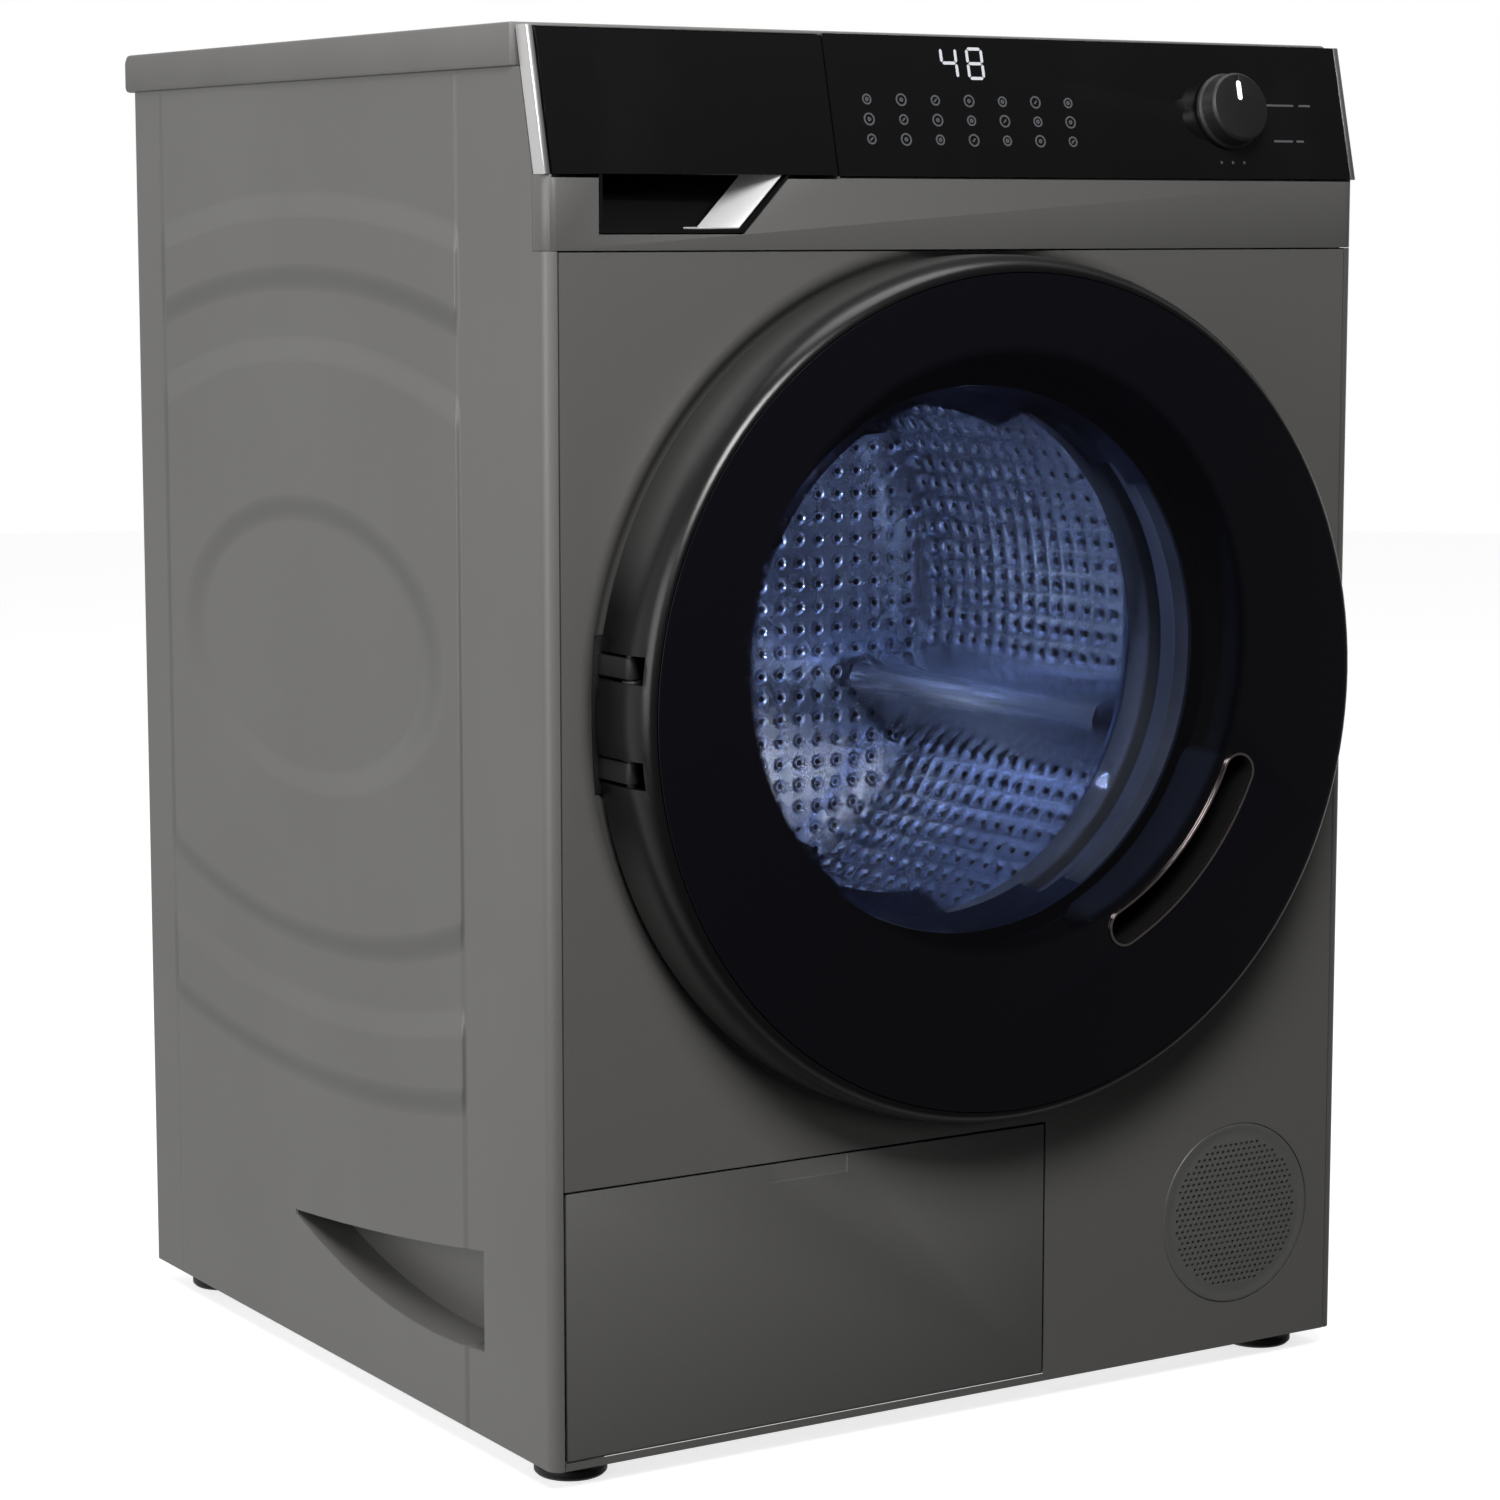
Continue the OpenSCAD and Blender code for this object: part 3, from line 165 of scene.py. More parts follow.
class Finish:
    """One material."""

    def __init__(self, name, colour, **fixed):
        self.material = bpy.data.materials.new(name)
        self.material.use_nodes = True
        self.tree = self.material.node_tree
        self.shader = self.tree.nodes["Principled BSDF"]
        self.colour = (*colour, 1)
        self.shader.inputs["Base Color"].default_value = self.colour
        for socket, value in fixed.items():
            self.shader.inputs[socket.replace("_", " ").title().replace("Ior", "IOR")].default_value = value
        self.height = None

    def node(self, kind, settings=None, values=None, out=0):
        """Any node: its settings first, then its inputs, wired or fixed."""
        node = self.tree.nodes.new(kind)
        for name, value in (settings or {}).items():
            setattr(node, name, value)
        for name, value in (values or {}).items():
            if isinstance(value, Wire):
                self.tree.links.new(value.socket, node.inputs[name])
            else:
                node.inputs[name].default_value = value
        return Wire(self, node.outputs[out])

    def place(self, scale=(1, 1, 1)):
        """Object coordinates, stretched."""
        coordinates = self.node("ShaderNodeTexCoord", out="Object")
        return self.node("ShaderNodeMapping", None, {"Vector": coordinates, "Scale": scale})

    def noise(self, scale, detail=2.0, stretch=(1, 1, 1)):
        """Cloudy noise; scale is in lumps per metre."""
        values = {"Vector": self.place(stretch), "Scale": scale, "Detail": detail}
        return self.node("ShaderNodeTexNoise", None, values)

    def cells(self, scale, out="Distance"):
        """Random cells; scale is in cells per metre."""
        return self.node("ShaderNodeTexVoronoi", None, {"Vector": self.place(), "Scale": scale}, out=out)

    def tint(self, amount, other):
        """Moves the base colour towards another where amount is high."""
        colours = {0: amount, 6: self.colour, 7: (*other, 1)}
        self.colour = self.node("ShaderNodeMix", {"data_type": "RGBA"}, colours, out=2)
        self.feed("Base Color", self.colour)

    def axis(self, letter):
        """How far along X, Y or Z, in metres."""
        return self.node("ShaderNodeSeparateXYZ", None, {0: self.place()}, out=letter)

    def vector(self, operation, first, second):
        return self.node("ShaderNodeVectorMath", {"operation": operation}, {0: first, 1: second})

    def length(self, vector):
        return self.node("ShaderNodeVectorMath", {"operation": "LENGTH"}, {0: vector}, out="Value")

    def rough(self, wire):
        self.feed("Roughness", wire)

    def feed(self, socket, wire):
        self.tree.links.new(wire.socket, self.shader.inputs[socket])

    def bump(self, wire, distance, strength=1.0):
        """Raises the surface by up to the distance, in metres. Each call adds to the ones before."""
        values = {"Height": wire, "Distance": distance, "Strength": strength}
        if self.height:
            values["Normal"] = self.height
        self.height = self.node("ShaderNodeBump", None, values)
        self.feed("Normal", self.height)


def metallic_paint(name, colour, roughness):
    """Stoved metallic paint: fine flake, a faint orange peel, and cloudy wear in its gloss."""
    paint = Finish(name, colour, metallic=0.35, coat_weight=0.25, coat_roughness=0.35)
    flake = paint.noise(2600, 1)
    cloud = paint.noise(5, 3)
    darker = tuple(c * 0.86 for c in colour)
    lighter = tuple(min(1, c * 1.22) for c in colour)
    paint.tint(cloud.above(0.52, 0.3) * 0.5, darker)
    paint.tint(flake.above(0.62, 0.1) * 0.6, lighter)
    paint.rough(flake * 0.14 + cloud * 0.08 + (roughness - 0.11))
    paint.bump(paint.noise(420, 2), 0.00006, 0.5)
    return paint


def moulded_plastic(name, colour, roughness=0.5, grain=900, depth=0.00004):
    """Moulded plastic with a fine spark-eroded grain."""
    plastic = Finish(name, colour)
    cloud = plastic.noise(14, 3)
    plastic.tint(cloud.above(0.5, 0.25) * 0.35, tuple(c * 0.82 for c in colour))
    plastic.rough(cloud * 0.1 + (roughness - 0.05))
    plastic.bump(plastic.noise(grain, 2), depth, 0.6)
    return plastic.material


def pressed_ovals(paint, centre, steps, border, height):
    """Adds shallow oval steps pressed into a side's sheet, cut off at its zone's two upright borders."""
    flat = paint.vector("MULTIPLY", paint.vector("SUBTRACT", paint.place(), centre), (0, 0.5, 1))
    reach = paint.length(flat)
    relief = 0
    for radius, rise in steps:
        relief = reach.above(radius, 0.009) * rise + relief
    along = paint.axis("Y")
    zone = along.above(border[0], 0.004) * (1 - along.above(border[1], 0.004))
    paint.bump(relief * zone + zone * 0.5, height, 1.0)
    return paint


def zinc_sheet(name):
    """Galvanised sheet with its crystal spangle."""
    zinc = Finish(name, (0.42, 0.43, 0.44), metallic=1.0)
    spangle = zinc.cells(160, out="Color")
    level = zinc.node("ShaderNodeSeparateColor", None, {0: spangle})
    zinc.tint(level * 0.5, (0.62, 0.64, 0.66))
    zinc.rough(level * 0.25 + 0.3)
    return zinc.material


paint_colour = (0.165, 0.162, 0.157)
oval_centre = (0, 0.042, 0.472)
oval_steps = ((0.087, 1), (0.187, -1), (0.232, 1), (0.277, -1))
oval_zone = (-0.165, 0.257)
body_paint = metallic_paint("titanium_paint", paint_colour, 0.46).material
side_sheet = metallic_paint("titanium_paint_sides", paint_colour, 0.46)
side_paint = pressed_ovals(side_sheet, oval_centre, oval_steps, oval_zone, 0.006).material
# The front's copy of the paint is a little darker than the sides': that darker tone is painted shade.
front_paint_painted_shade = metallic_paint("titanium_paint_front_painted_shade", (0.155, 0.152, 0.147), 0.42).material
laminate = moulded_plastic("grey_laminate", (0.15, 0.147, 0.142), 0.5, 500, 0.00008)
zinc = zinc_sheet("galvanised_sheet")
record = frame["record"]
body_of_node = {node: body for body, nodes in record["behaviour"]["bodies"].items() for node in nodes}


def alone(piece):
    """Selects one object and nothing else."""
    bpy.ops.object.select_all(action="DESELECT")
    piece.select_set(True)
    bpy.context.view_layer.objects.active = piece


def finished(piece, name, material, body, stands_for=(), smooth=35):
    """Names a piece, puts its place into its mesh, and hands it to its body."""
    alone(piece)
    bpy.ops.object.transform_apply(location=True, rotation=True, scale=True)
    piece.name = piece.data.name = name
    bpy.ops.object.shade_smooth_by_angle(angle=math.radians(smooth))
    piece.data.materials.clear()
    piece.data.materials.append(material)
    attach(piece, body)
    if stands_for:
        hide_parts(*stands_for)
    return piece


def applied(piece, kind, **settings):
    """Adds a modifier and applies it at once."""
    alone(piece)
    modifier = piece.modifiers.new(kind.lower(), kind)
    for setting, value in settings.items():
        setattr(modifier, setting, value)
    bpy.ops.object.modifier_apply(modifier=modifier.name)
    return piece


def eased(node, radius, material, name=None, smooth=35):
    """A copy of a CAD node, its loose triangles joined up and its sharp edges rounded by a radius in mm."""
    piece = bpy.data.objects.new(node, frame["nodes"][node].data.copy())
    scene.collection.objects.link(piece)
    alone(piece)
    bpy.ops.object.mode_set(mode="EDIT")
    bpy.ops.mesh.select_all(action="SELECT")
    bpy.ops.mesh.remove_doubles(threshold=0.00001)
    bpy.ops.mesh.customdata_custom_splitnormals_clear()
    bpy.ops.mesh.dissolve_limited(angle_limit=math.radians(0.4))
    bpy.ops.object.mode_set(mode="OBJECT")
    if radius:
        applied(piece, "BEVEL", width=radius * MM, segments=2, limit_method="ANGLE",
                angle_limit=math.radians(38), use_clamp_overlap=True, harden_normals=False)
    name = name or node + "_moulded"
    return finished(piece, name, material, body_of_node[node], [node], smooth)


def coated(material, *nodes):
    """Gives its finish to a plain part that keeps its exact CAD shape."""
    for node in nodes:
        frame["nodes"][node].data.materials.clear()
        frame["nodes"][node].data.materials.append(material)


eased("front_panel", 0, front_paint_painted_shade, smooth=30)
eased("worktop", 2.0, laminate)
eased("left_side_panel", 0, side_paint)
eased("right_side_panel", 0, side_paint)
eased("rear_cover", 0.4, body_paint)
eased("rear_panel", 0, body_paint)
coated(zinc, "base_pan", "frame_braces", "flap_brackets")


# ---------------------------------------------------------------- rear cover screws
# Eight zinc-plated pan-head screws with a cross recess hold the service cover to the rear panel. The heads
# are turned, and the recess is two crossed slots.


def brushed_metal(name, colour, roughness=0.28, grain=(1, 60, 60), depth=0.00002):
    """Rolled or brushed metal, streaked along the grain."""
    metal = Finish(name, colour, metallic=1.0)
    streak = metal.noise(60, 3, grain)
    cloud = metal.noise(9, 2)
    metal.tint(cloud.above(0.5, 0.3) * 0.4, tuple(c * 0.8 for c in colour))
    metal.rough(streak * 0.16 + cloud * 0.06 + (roughness - 0.1))
    metal.bump(streak, depth, 0.4)
    return metal.material


def turned(name, profile, centre, axis="Y", steps=96):
    """Spins a closed outline of (radius, place along the axis) round a line, as on a lathe. All in mm."""
    spun = (0, 1, 0) if axis == "Y" else (0, 0, 1)

    def point(radius, along):
        if axis == "Y":
            return (centre[0] + radius, along, centre[1])
        return (centre[0] + radius, centre[1], along)

    bpy.ops.object.select_all(action="DESELECT")
    bpy.ops.mesh.primitive_plane_add(size=0.001)
    piece = bpy.context.object
    piece.name = name
    bpy.ops.object.mode_set(mode="EDIT")
    bpy.ops.mesh.merge(type="CENTER")
    here = (0, 0, 0)
    for count, corner in enumerate(list(profile) + [profile[0]]):
        there = point(*corner)
        move = tuple((b - a) * MM for a, b in zip(here, there))
        if count:
            bpy.ops.mesh.extrude_region_move(TRANSFORM_OT_translate={"value": move})
        else:
            bpy.ops.transform.translate(value=move)
        here = there
    bpy.ops.mesh.select_all(action="SELECT")
    middle = tuple(c * MM for c in point(0, 0))
    bpy.ops.mesh.spin(steps=steps, angle=2 * math.pi, center=middle, axis=spun)
    bpy.ops.mesh.select_all(action="SELECT")
    bpy.ops.mesh.remove_doubles(threshold=0.00001)
    bpy.ops.mesh.normals_make_consistent(inside=False)
    bpy.ops.object.mode_set(mode="OBJECT")
    return piece


def joined(first, *others):
    """One object from several."""
    alone(first)
    for other in others:
        other.select_set(True)
    bpy.ops.object.join()
    return first


cover_y = 298.8
screw = turned("screw", [(0, cover_y + 2.3), (2, cover_y + 2.1), (3.4, cover_y + 1.3), (4.0, cover_y + 0.05),
                         (1.9, cover_y + 0.05), (1.9, cover_y - 7), (0, cover_y - 7)], (0, 0), steps=20)
for quarter in (0, 1):
    bpy.ops.object.select_all(action="DESELECT")
    bpy.ops.mesh.primitive_cube_add(size=1, location=(0, (cover_y + 2.2) * MM, 0))
    blade = bpy.context.object
    bpy.ops.object.mode_set(mode="EDIT")
    bpy.ops.transform.resize(value=((0.8, 4.4)[quarter] * MM, 2 * MM, (4.4, 0.8)[quarter] * MM))
    bpy.ops.mesh.bevel(offset=0.1 * MM, segments=1, affect="EDGES")
    bpy.ops.object.mode_set(mode="OBJECT")
    applied(screw, "BOOLEAN", object=blade, operation="DIFFERENCE", solver="EXACT")
    bpy.data.objects.remove(blade)
screws = []
for side in (-1, 1):
    for height in (80, 220, 500, 640):
        copy = screw.copy()
        copy.data = screw.data.copy()
        scene.collection.objects.link(copy)
        copy.location = (side * 203 * MM, 0, height * MM)
        screws.append(copy)
bpy.data.objects.remove(screw)
joined(*screws)
zinc_plate = brushed_metal("zinc_plate", (0.6, 0.6, 0.58), 0.35, (20, 20, 20))
finished(screws[0], "cover_screws", zinc_plate, "cabinet")


# ---------------------------------------------------------------- fascia bar and service flap
# The bar under the control panel and the flap over the pump filter are moulded plastic, painted to match the
# cabinet. Four caps of the same plastic close the transit bolts' holes.

grey_abs = metallic_paint("painted_abs", (0.145, 0.143, 0.139), 0.45).material
eased("fascia_housing", 0.5, grey_abs)
eased("service_flap", 0.5, grey_abs)
coated(grey_abs, "transit_caps")


# ---------------------------------------------------------------- vent grille
# The grille is a painted plastic disc, slightly domed, with a close field of small round holes moulded
# through it and a plain rim.

grille_x = 211.0
grille_z = 102.0
grille_r = 59.0
face_y = front_y / MM + 0.2
grille = turned("grille", [
    (0, face_y - 1.0), (30, face_y - 0.8), (50, face_y - 0.2), (54, face_y + 0.3), (56, face_y - 0.3),
    (58.4, face_y), (grille_r, face_y + 0.7), (grille_r, face_y + 3), (grille_r - 2, face_y + 3),
    (grille_r - 2, face_y + 11.8), (grille_r - 4, face_y + 11.8), (grille_r - 4, face_y + 2.6),
    (30, face_y + 2), (0, face_y + 1.8)],
    (grille_x, grille_z), steps=96)
bpy.ops.object.select_all(action="DESELECT")
bpy.ops.mesh.primitive_cylinder_add(vertices=8, radius=1.25 * MM, depth=10 * MM, rotation=(math.pi / 2, 0, 0))
pin = bpy.context.object
pins = [pin]
for row in range(-12, 13):
    for column in range(-12, 13):
        x = (column + (row % 2) / 2) * 4.3
        z = row * 3.75
        if math.hypot(x, z) < 49:
            copy = pin.copy()
            copy.data = pin.data.copy()
            scene.collection.objects.link(copy)
            copy.location = ((grille_x + x) * MM, (face_y + 1) * MM, (grille_z + z) * MM)
            pins.append(copy)
pin.location = (grille_x * MM, (face_y + 1) * MM, grille_z * MM)
field = joined(*pins[1:])
bpy.data.objects.remove(pin)
applied(grille, "BOOLEAN", object=field, operation="DIFFERENCE", solver="EXACT")
bpy.data.objects.remove(field)
finished(grille, "vent_grille_disc", grey_abs, "cabinet", ["vent_grille"], 35)


# ---------------------------------------------------------------- feet and black mouldings
# The levelling feet, the cord gland and the drive's box are matt black plastic with a fine grain.
# Each foot turns on its own thread.

matt_black = moulded_plastic("matt_black_plastic", (0.009, 0.009, 0.01), 0.5)
for corner in ("front_left", "front_right", "rear_left", "rear_right"):
    eased("foot_" + corner, 0.4, matt_black)
eased("power_gland", 0.4, matt_black)
coated(matt_black, "inverter_box")


# ---------------------------------------------------------------- control panel
# The leaning panel is one piece of piano-black acrylic between two chromed end trims. Its knob is matt black,
# and its circuit board stands behind it.


def polished_black(name, colour=(0.0045, 0.0045, 0.005)):
    """Piano-black acrylic: near-mirror gloss with faint hand smears."""
    black = Finish(name, colour, coat_weight=0.6, coat_roughness=0.03)
    smear = black.noise(18, 4, (1, 1, 0.35))
    black.rough(smear.above(0.62, 0.2) * 0.09 + 0.06)
    black.tint(smear.above(0.66, 0.18) * 0.12, (0.02, 0.02, 0.022))
    return black.material


piano_black = polished_black("piano_black")
satin_chrome = brushed_metal("satin_chrome", (0.85, 0.84, 0.84), 0.36, (40, 1, 1))
board_green = moulded_plastic("solder_mask", (0.01, 0.06, 0.025), 0.35, 400)
eased("control_glass", 0.5, piano_black)
eased("end_trims", 0.6, satin_chrome)
eased("program_knob", 0.6, matt_black)
coated(board_green, "display_board")


# ---------------------------------------------------------------- display and printed keys
# Lit figures and symbols show through the black panel in cold white. They are thin windows in its print.
# The knob's pointer is a lit bar let into its face.

panel_foot = 765.0
panel_rise = 83.0
panel_set_back = 20.0
lean = math.atan2(panel_set_back, panel_rise)
knob_x = 197.0


def glowing(name, colour, strength, body=0.8):
    """A lit lens or a lit window in a print."""
    lens = Finish(name, (body, body, body), roughness=0.3, emission_strength=strength)
    lens.shader.inputs["Emission Color"].default_value = (*colour, 1)
    soft = lens.noise(220, 2)
    lens.rough(soft * 0.2 + 0.2)
    return lens.material


lit_white = glowing("display_white", (0.75, 0.8, 0.88), 0.5, 0.3)
lit_faint = glowing("key_print", (0.5, 0.53, 0.6), 0.1, 0.05)


def on_panel(piece, x, up, lift=0.12):
    """Lays a flat piece on the leaning panel, at a distance along it and up its slope, in mm."""
    piece.rotation_euler = (math.pi / 2 - lean, 0, 0)
    out = lift * MM
    piece.location = (x * MM, front_y + up * MM * math.sin(lean) - out * math.cos(lean),
                      (panel_foot + up * math.cos(lean)) * MM + out * math.sin(lean))
    return piece


def bar(length, width, at, turned_by=0.0, chamfer=0.45):
    """A thin lit bar with mitred ends."""
    bpy.ops.object.select_all(action="DESELECT")
    bpy.ops.mesh.primitive_plane_add(size=1)
    piece = bpy.context.object
    bpy.ops.object.mode_set(mode="EDIT")
    bpy.ops.transform.resize(value=(length * MM, width * MM, 1), center_override=(0, 0, 0))
    if chamfer:
        bpy.ops.mesh.bevel(offset=width * chamfer * MM, affect="VERTICES", segments=1)
    bpy.ops.mesh.select_all(action="SELECT")
    bpy.ops.mesh.extrude_region_move(TRANSFORM_OT_translate={"value": (0, 0, 0.1 * MM)})
    bpy.ops.mesh.select_all(action="SELECT")
    bpy.ops.mesh.normals_make_consistent(inside=False)
    bpy.ops.transform.rotate(value=-turned_by, orient_axis="Z", center_override=(0, 0, 0))
    bpy.ops.transform.translate(value=(at[0] * MM, at[1] * MM, 0))
    bpy.ops.object.mode_set(mode="OBJECT")
    return piece


figure_h = 18.0
figure_w = 10.5
segment_places = {"top": (0, 1, 0), "middle": (0, 0, 0), "bottom": (0, -1, 0),
                  "top left": (-1, 0.5, 1), "top right": (1, 0.5, 1), "bottom left": (-1, -0.5, 1),
                  "bottom right": (1, -0.5, 1)}
lit_segments = {4: ("top left", "top right", "middle", "bottom right"), 8: tuple(segment_places)}
bars = []
for column, figure in enumerate((4, 8)):
    for segment in lit_segments[figure]:
        across, up, upright = segment_places[segment]
        middle = (across * figure_w / 2 + (column - 0.5) * 19, up * figure_h / 2)
        length = figure_h / 2 - 1 if upright else figure_w - 1
        bars.append(bar(length, 1.9, middle, upright * math.pi / 2))
display = joined(*bars)
on_panel(display, 0, 69)
finished(display, "display_figures", lit_white, "cabinet")


def key_ring(radius, width, at):
    """A thin printed ring."""
    bpy.ops.object.select_all(action="DESELECT")
    bpy.ops.mesh.primitive_circle_add(vertices=20, radius=radius * MM, fill_type="NGON")
    piece = bpy.context.object
    bpy.ops.object.mode_set(mode="EDIT")
    bpy.ops.mesh.inset(thickness=width * MM)
    bpy.ops.mesh.delete(type="FACE")
    bpy.ops.mesh.select_all(action="SELECT")
    bpy.ops.mesh.extrude_region_move(TRANSFORM_OT_translate={"value": (0, 0, 0.1 * MM)})
    bpy.ops.mesh.select_all(action="SELECT")
    bpy.ops.mesh.normals_make_consistent(inside=False)
    bpy.ops.transform.translate(value=(at[0] * MM, at[1] * MM, 0))
    bpy.ops.object.mode_set(mode="OBJECT")
    return piece


prints = []
for row, up in enumerate((22, 34, 46)):
    for column in range(7):
        x = -72 + column * 24.5
        prints.append(key_ring(3.9 if (row + column) % 2 else 3.3, 1.0, (x, up)))
        if (row + 2 * column) % 3 == 0:
            prints.append(bar(3.2, 1.0, (x, up), math.pi / 4))
        else:
            prints.append(key_ring(1.3, 0.9, (x, up)))
for line, length in ((47, 46), (24, 30)):
    prints.append(bar(length * 0.5, 1.3, (240, line), chamfer=0))
    prints.append(bar(length * 0.2, 1.3, (240 + length * 0.45, line), chamfer=0))
for dot in (-1, 0, 1):
    prints.append(key_ring(0.9, 0.5, (knob_x + dot * 9, 10)))
key_print = joined(*prints)
on_panel(key_print, 0, 0)
finished(key_print, "key_print", lit_faint, "cabinet")

# The knob's pointer is a lit bar let into its face, and turns with it.
pointer = bar(12, 3.4, (0, 10), math.pi / 2, 0.3)
on_panel(pointer, knob_x, 42, 15.35)
pointer_white = glowing("pointer_white", (0.95, 0.97, 1.0), 1.3)
finished(pointer, "knob_pointer", pointer_white, "knob")


# ---------------------------------------------------------------- detergent drawer
# The drawer is a black front clipped to a white polypropylene tray with a blue siphon cap. It slides in a
# moulded housing fed by the inlet valve, which is of the same plastic.

white_pp = moulded_plastic("white_polypropylene", (0.62, 0.64, 0.66), 0.42, 600)
blue_pp = moulded_plastic("blue_polypropylene", (0.03, 0.09, 0.33), 0.4, 600)
eased("drawer_front", 0.5, piano_black)
eased("drawer_tray", 0.4, white_pp)
eased("siphon_cap", 0.4, blue_pp)
eased("dispenser_housing", 0.4, white_pp)
eased("inlet_valve", 0.4, white_pp)


# ---------------------------------------------------------------- silver insert of the drawer's hand opening
# A bent strip of silvered plastic is pressed into the slanting end of the hand opening and runs a little way
# along its floor. It moves with the drawer.


def select_where(piece, test):
    """In edit mode, selects the vertices of a mesh that pass a test on their place."""
    bpy.ops.mesh.select_mode(type="VERT")
    bpy.ops.mesh.select_all(action="DESELECT")
    bpy.ops.object.mode_set(mode="OBJECT")
    for vertex in piece.data.vertices:
        vertex.select = test(vertex.co)
    bpy.ops.object.mode_set(mode="EDIT")


slant_foot = (-166.5, 734.6)
slant_head = (-136.5, 765.6)
strip_y = front_y / MM + 1.2
bpy.ops.object.select_all(action="DESELECT")
bpy.ops.mesh.primitive_plane_add(size=0.001)
chrome_end = bpy.context.object
bpy.ops.object.mode_set(mode="EDIT")
bpy.ops.mesh.merge(type="CENTER")
bpy.ops.transform.translate(value=((slant_foot[0] - 26) * MM, strip_y * MM, slant_foot[1] * MM))
bpy.ops.mesh.extrude_region_move(TRANSFORM_OT_translate={"value": (26 * MM, 0, 0)})
bpy.ops.mesh.extrude_region_move(TRANSFORM_OT_translate={"value": (
    (slant_head[0] - slant_foot[0]) * MM, 0, (slant_head[1] - slant_foot[1]) * MM)})
bpy.ops.mesh.select_all(action="SELECT")
bpy.ops.mesh.extrude_edges_move(TRANSFORM_OT_translate={"value": (0, 19 * MM, 0)})
select_where(chrome_end, lambda co: co.y > (strip_y + 10) * MM and co.x > (slant_foot[0] - 1) * MM)
bpy.ops.transform.translate(value=(-17 * MM, 0, 0))
bpy.ops.mesh.select_all(action="SELECT")
bpy.ops.mesh.normals_make_consistent(inside=False)
bpy.ops.object.mode_set(mode="OBJECT")
applied(chrome_end, "SOLIDIFY", thickness=1.2 * MM, offset=0)
applied(chrome_end, "BEVEL", width=0.4 * MM, segments=2, limit_method="ANGLE", angle_limit=math.radians(40))
silver_plate = Finish("silver_plate", (0.8, 0.8, 0.8), metallic=0.45)
silver_plate.rough(silver_plate.noise(40, 3) * 0.1 + 0.33)
silver_plate.bump(silver_plate.noise(300, 2), 0.00005, 0.4)
finished(chrome_end, "grip_insert", silver_plate.material, "drawer")


# ---------------------------------------------------------------- door
# The door is a black ring whose skirt is dark grey except at the hinge, a full-diameter smoke glass printed
# black outside its window, a dull black inner frame with a chromed slot, and a clear glass bowl. The skirt's
# dark grey is painted light: it stands for light falling on the dish slope beside the door.


def ring_with_painted_light_skirt(name, black, painted_light_colour, skirt_y, hinge_z, hinge_reach):
    """Satin black plastic whose skirt, next to the dish, is dark grey except at the hinge: painted light for
    the lit dish slope.
    """
    ring = Finish(name, black)
    height = ring.axis("Z")
    over = height.above(hinge_z + hinge_reach, 0.03) + (1 - height.above(hinge_z - hinge_reach, 0.03))
    painted_light_mask = ring.axis("Y").above(skirt_y, 0.007) * (over + ring.axis("X").above(0, 0.01))
    painted_light_mask = painted_light_mask.maths("MINIMUM", painted_light_mask, 1.0)
    flake = ring.noise(2600, 1)
    # Painted light: the dark grey skirt stands for light on the dish slope next to the door.
    ring.tint(painted_light_mask, painted_light_colour)
    ring.rough(flake * 0.08 + painted_light_mask * 0.12 + 0.26)
    ring.feed("Metallic", painted_light_mask * 0.35)
    ring.bump(ring.noise(420, 2), 0.00005, 0.5)
    return ring.material


def clear(name, colour, see_through, roughness=0.03, window=None):
    """Glass: clear face on and mirror-like at a glancing angle. Outside its round window it is printed."""
    glass = Finish(name, colour, roughness=roughness, coat_weight=0.3, coat_roughness=0.02)
    graze = glass.node("ShaderNodeLayerWeight", None, {"Blend": 0.12}, out="Fresnel")
    smear = glass.noise(16, 4)
    glass.rough(smear.above(0.6, 0.25) * 0.06 + roughness)
    body = graze * (0.95 * see_through) + (1 - see_through)
    if window:
        centre, radius = window
        flat = glass.vector("MULTIPLY", glass.vector("SUBTRACT", glass.place(), centre), (1, 0, 1))
        body = body.maths("MAXIMUM", body, glass.length(flat).above(radius, 0.006))
    glass.feed("Alpha", body)
    return glass.material


def dull_black(name):
    """Black plastic that hardly reflects, as it stands behind the glass."""
    black = Finish(name, (0.0025, 0.0025, 0.003), specular_ior_level=0.15)
    black.rough(black.noise(14, 3) * 0.1 + 0.7)
    black.bump(black.noise(900, 2), 0.00004, 0.5)
    return black.material


door_z = 0.457
hinge_reach = 0.085
door_ring = ring_with_painted_light_skirt("door_ring", (0.003, 0.003, 0.0035), (0.06, 0.059, 0.058), front_y - 0.030, door_z,
                         hinge_reach)
smoke_glass = clear("smoke_glass", (0.002, 0.002, 0.004), 0.7, window=((-0.010, 0, 0.484), 0.178))
rose_chrome = brushed_metal("rose_chrome", (0.8, 0.68, 0.68), 0.16, (1, 1, 1))
ground_steel = brushed_metal("ground_steel", (0.56, 0.56, 0.56), 0.25, (60, 60, 2))
eased("door_bezel", 0.3, door_ring)
eased("door_glass", 0.6, smoke_glass)
eased("door_inner_frame", 0.4, dull_black("deep_black"))
eased("handle_trim", 0.4, rose_chrome)
eased("hinge_bracket", 0.5, matt_black)
eased("hinge_arm", 0.5, matt_black)
coated(clear("clear_bowl_glass", (0.008, 0.01, 0.016), 0.97), "door_bowl")
coated(ground_steel, "latch_hook")
coated(matt_black, "door_lock")


# ---------------------------------------------------------------- drum
# The drum is a stainless sheet with a hole in the middle of each small pressed dimple, rolled and seamed.
# A flanged ring closes its front down to the mouth, and a dished disc closes its back. Hollow paddles are
# riveted inside it, and a cast spider carries it on its shaft.


def cast_metal(name, colour):
    """Sand-textured die casting."""
    cast = Finish(name, colour, metallic=0.9)
    sand = cast.noise(700, 3)
    cast.tint(sand.above(0.5, 0.2) * 0.4, tuple(c * 0.7 for c in colour))
    cast.rough(sand * 0.2 + 0.42)
    cast.bump(sand, 0.0002, 0.5)
    return cast.material


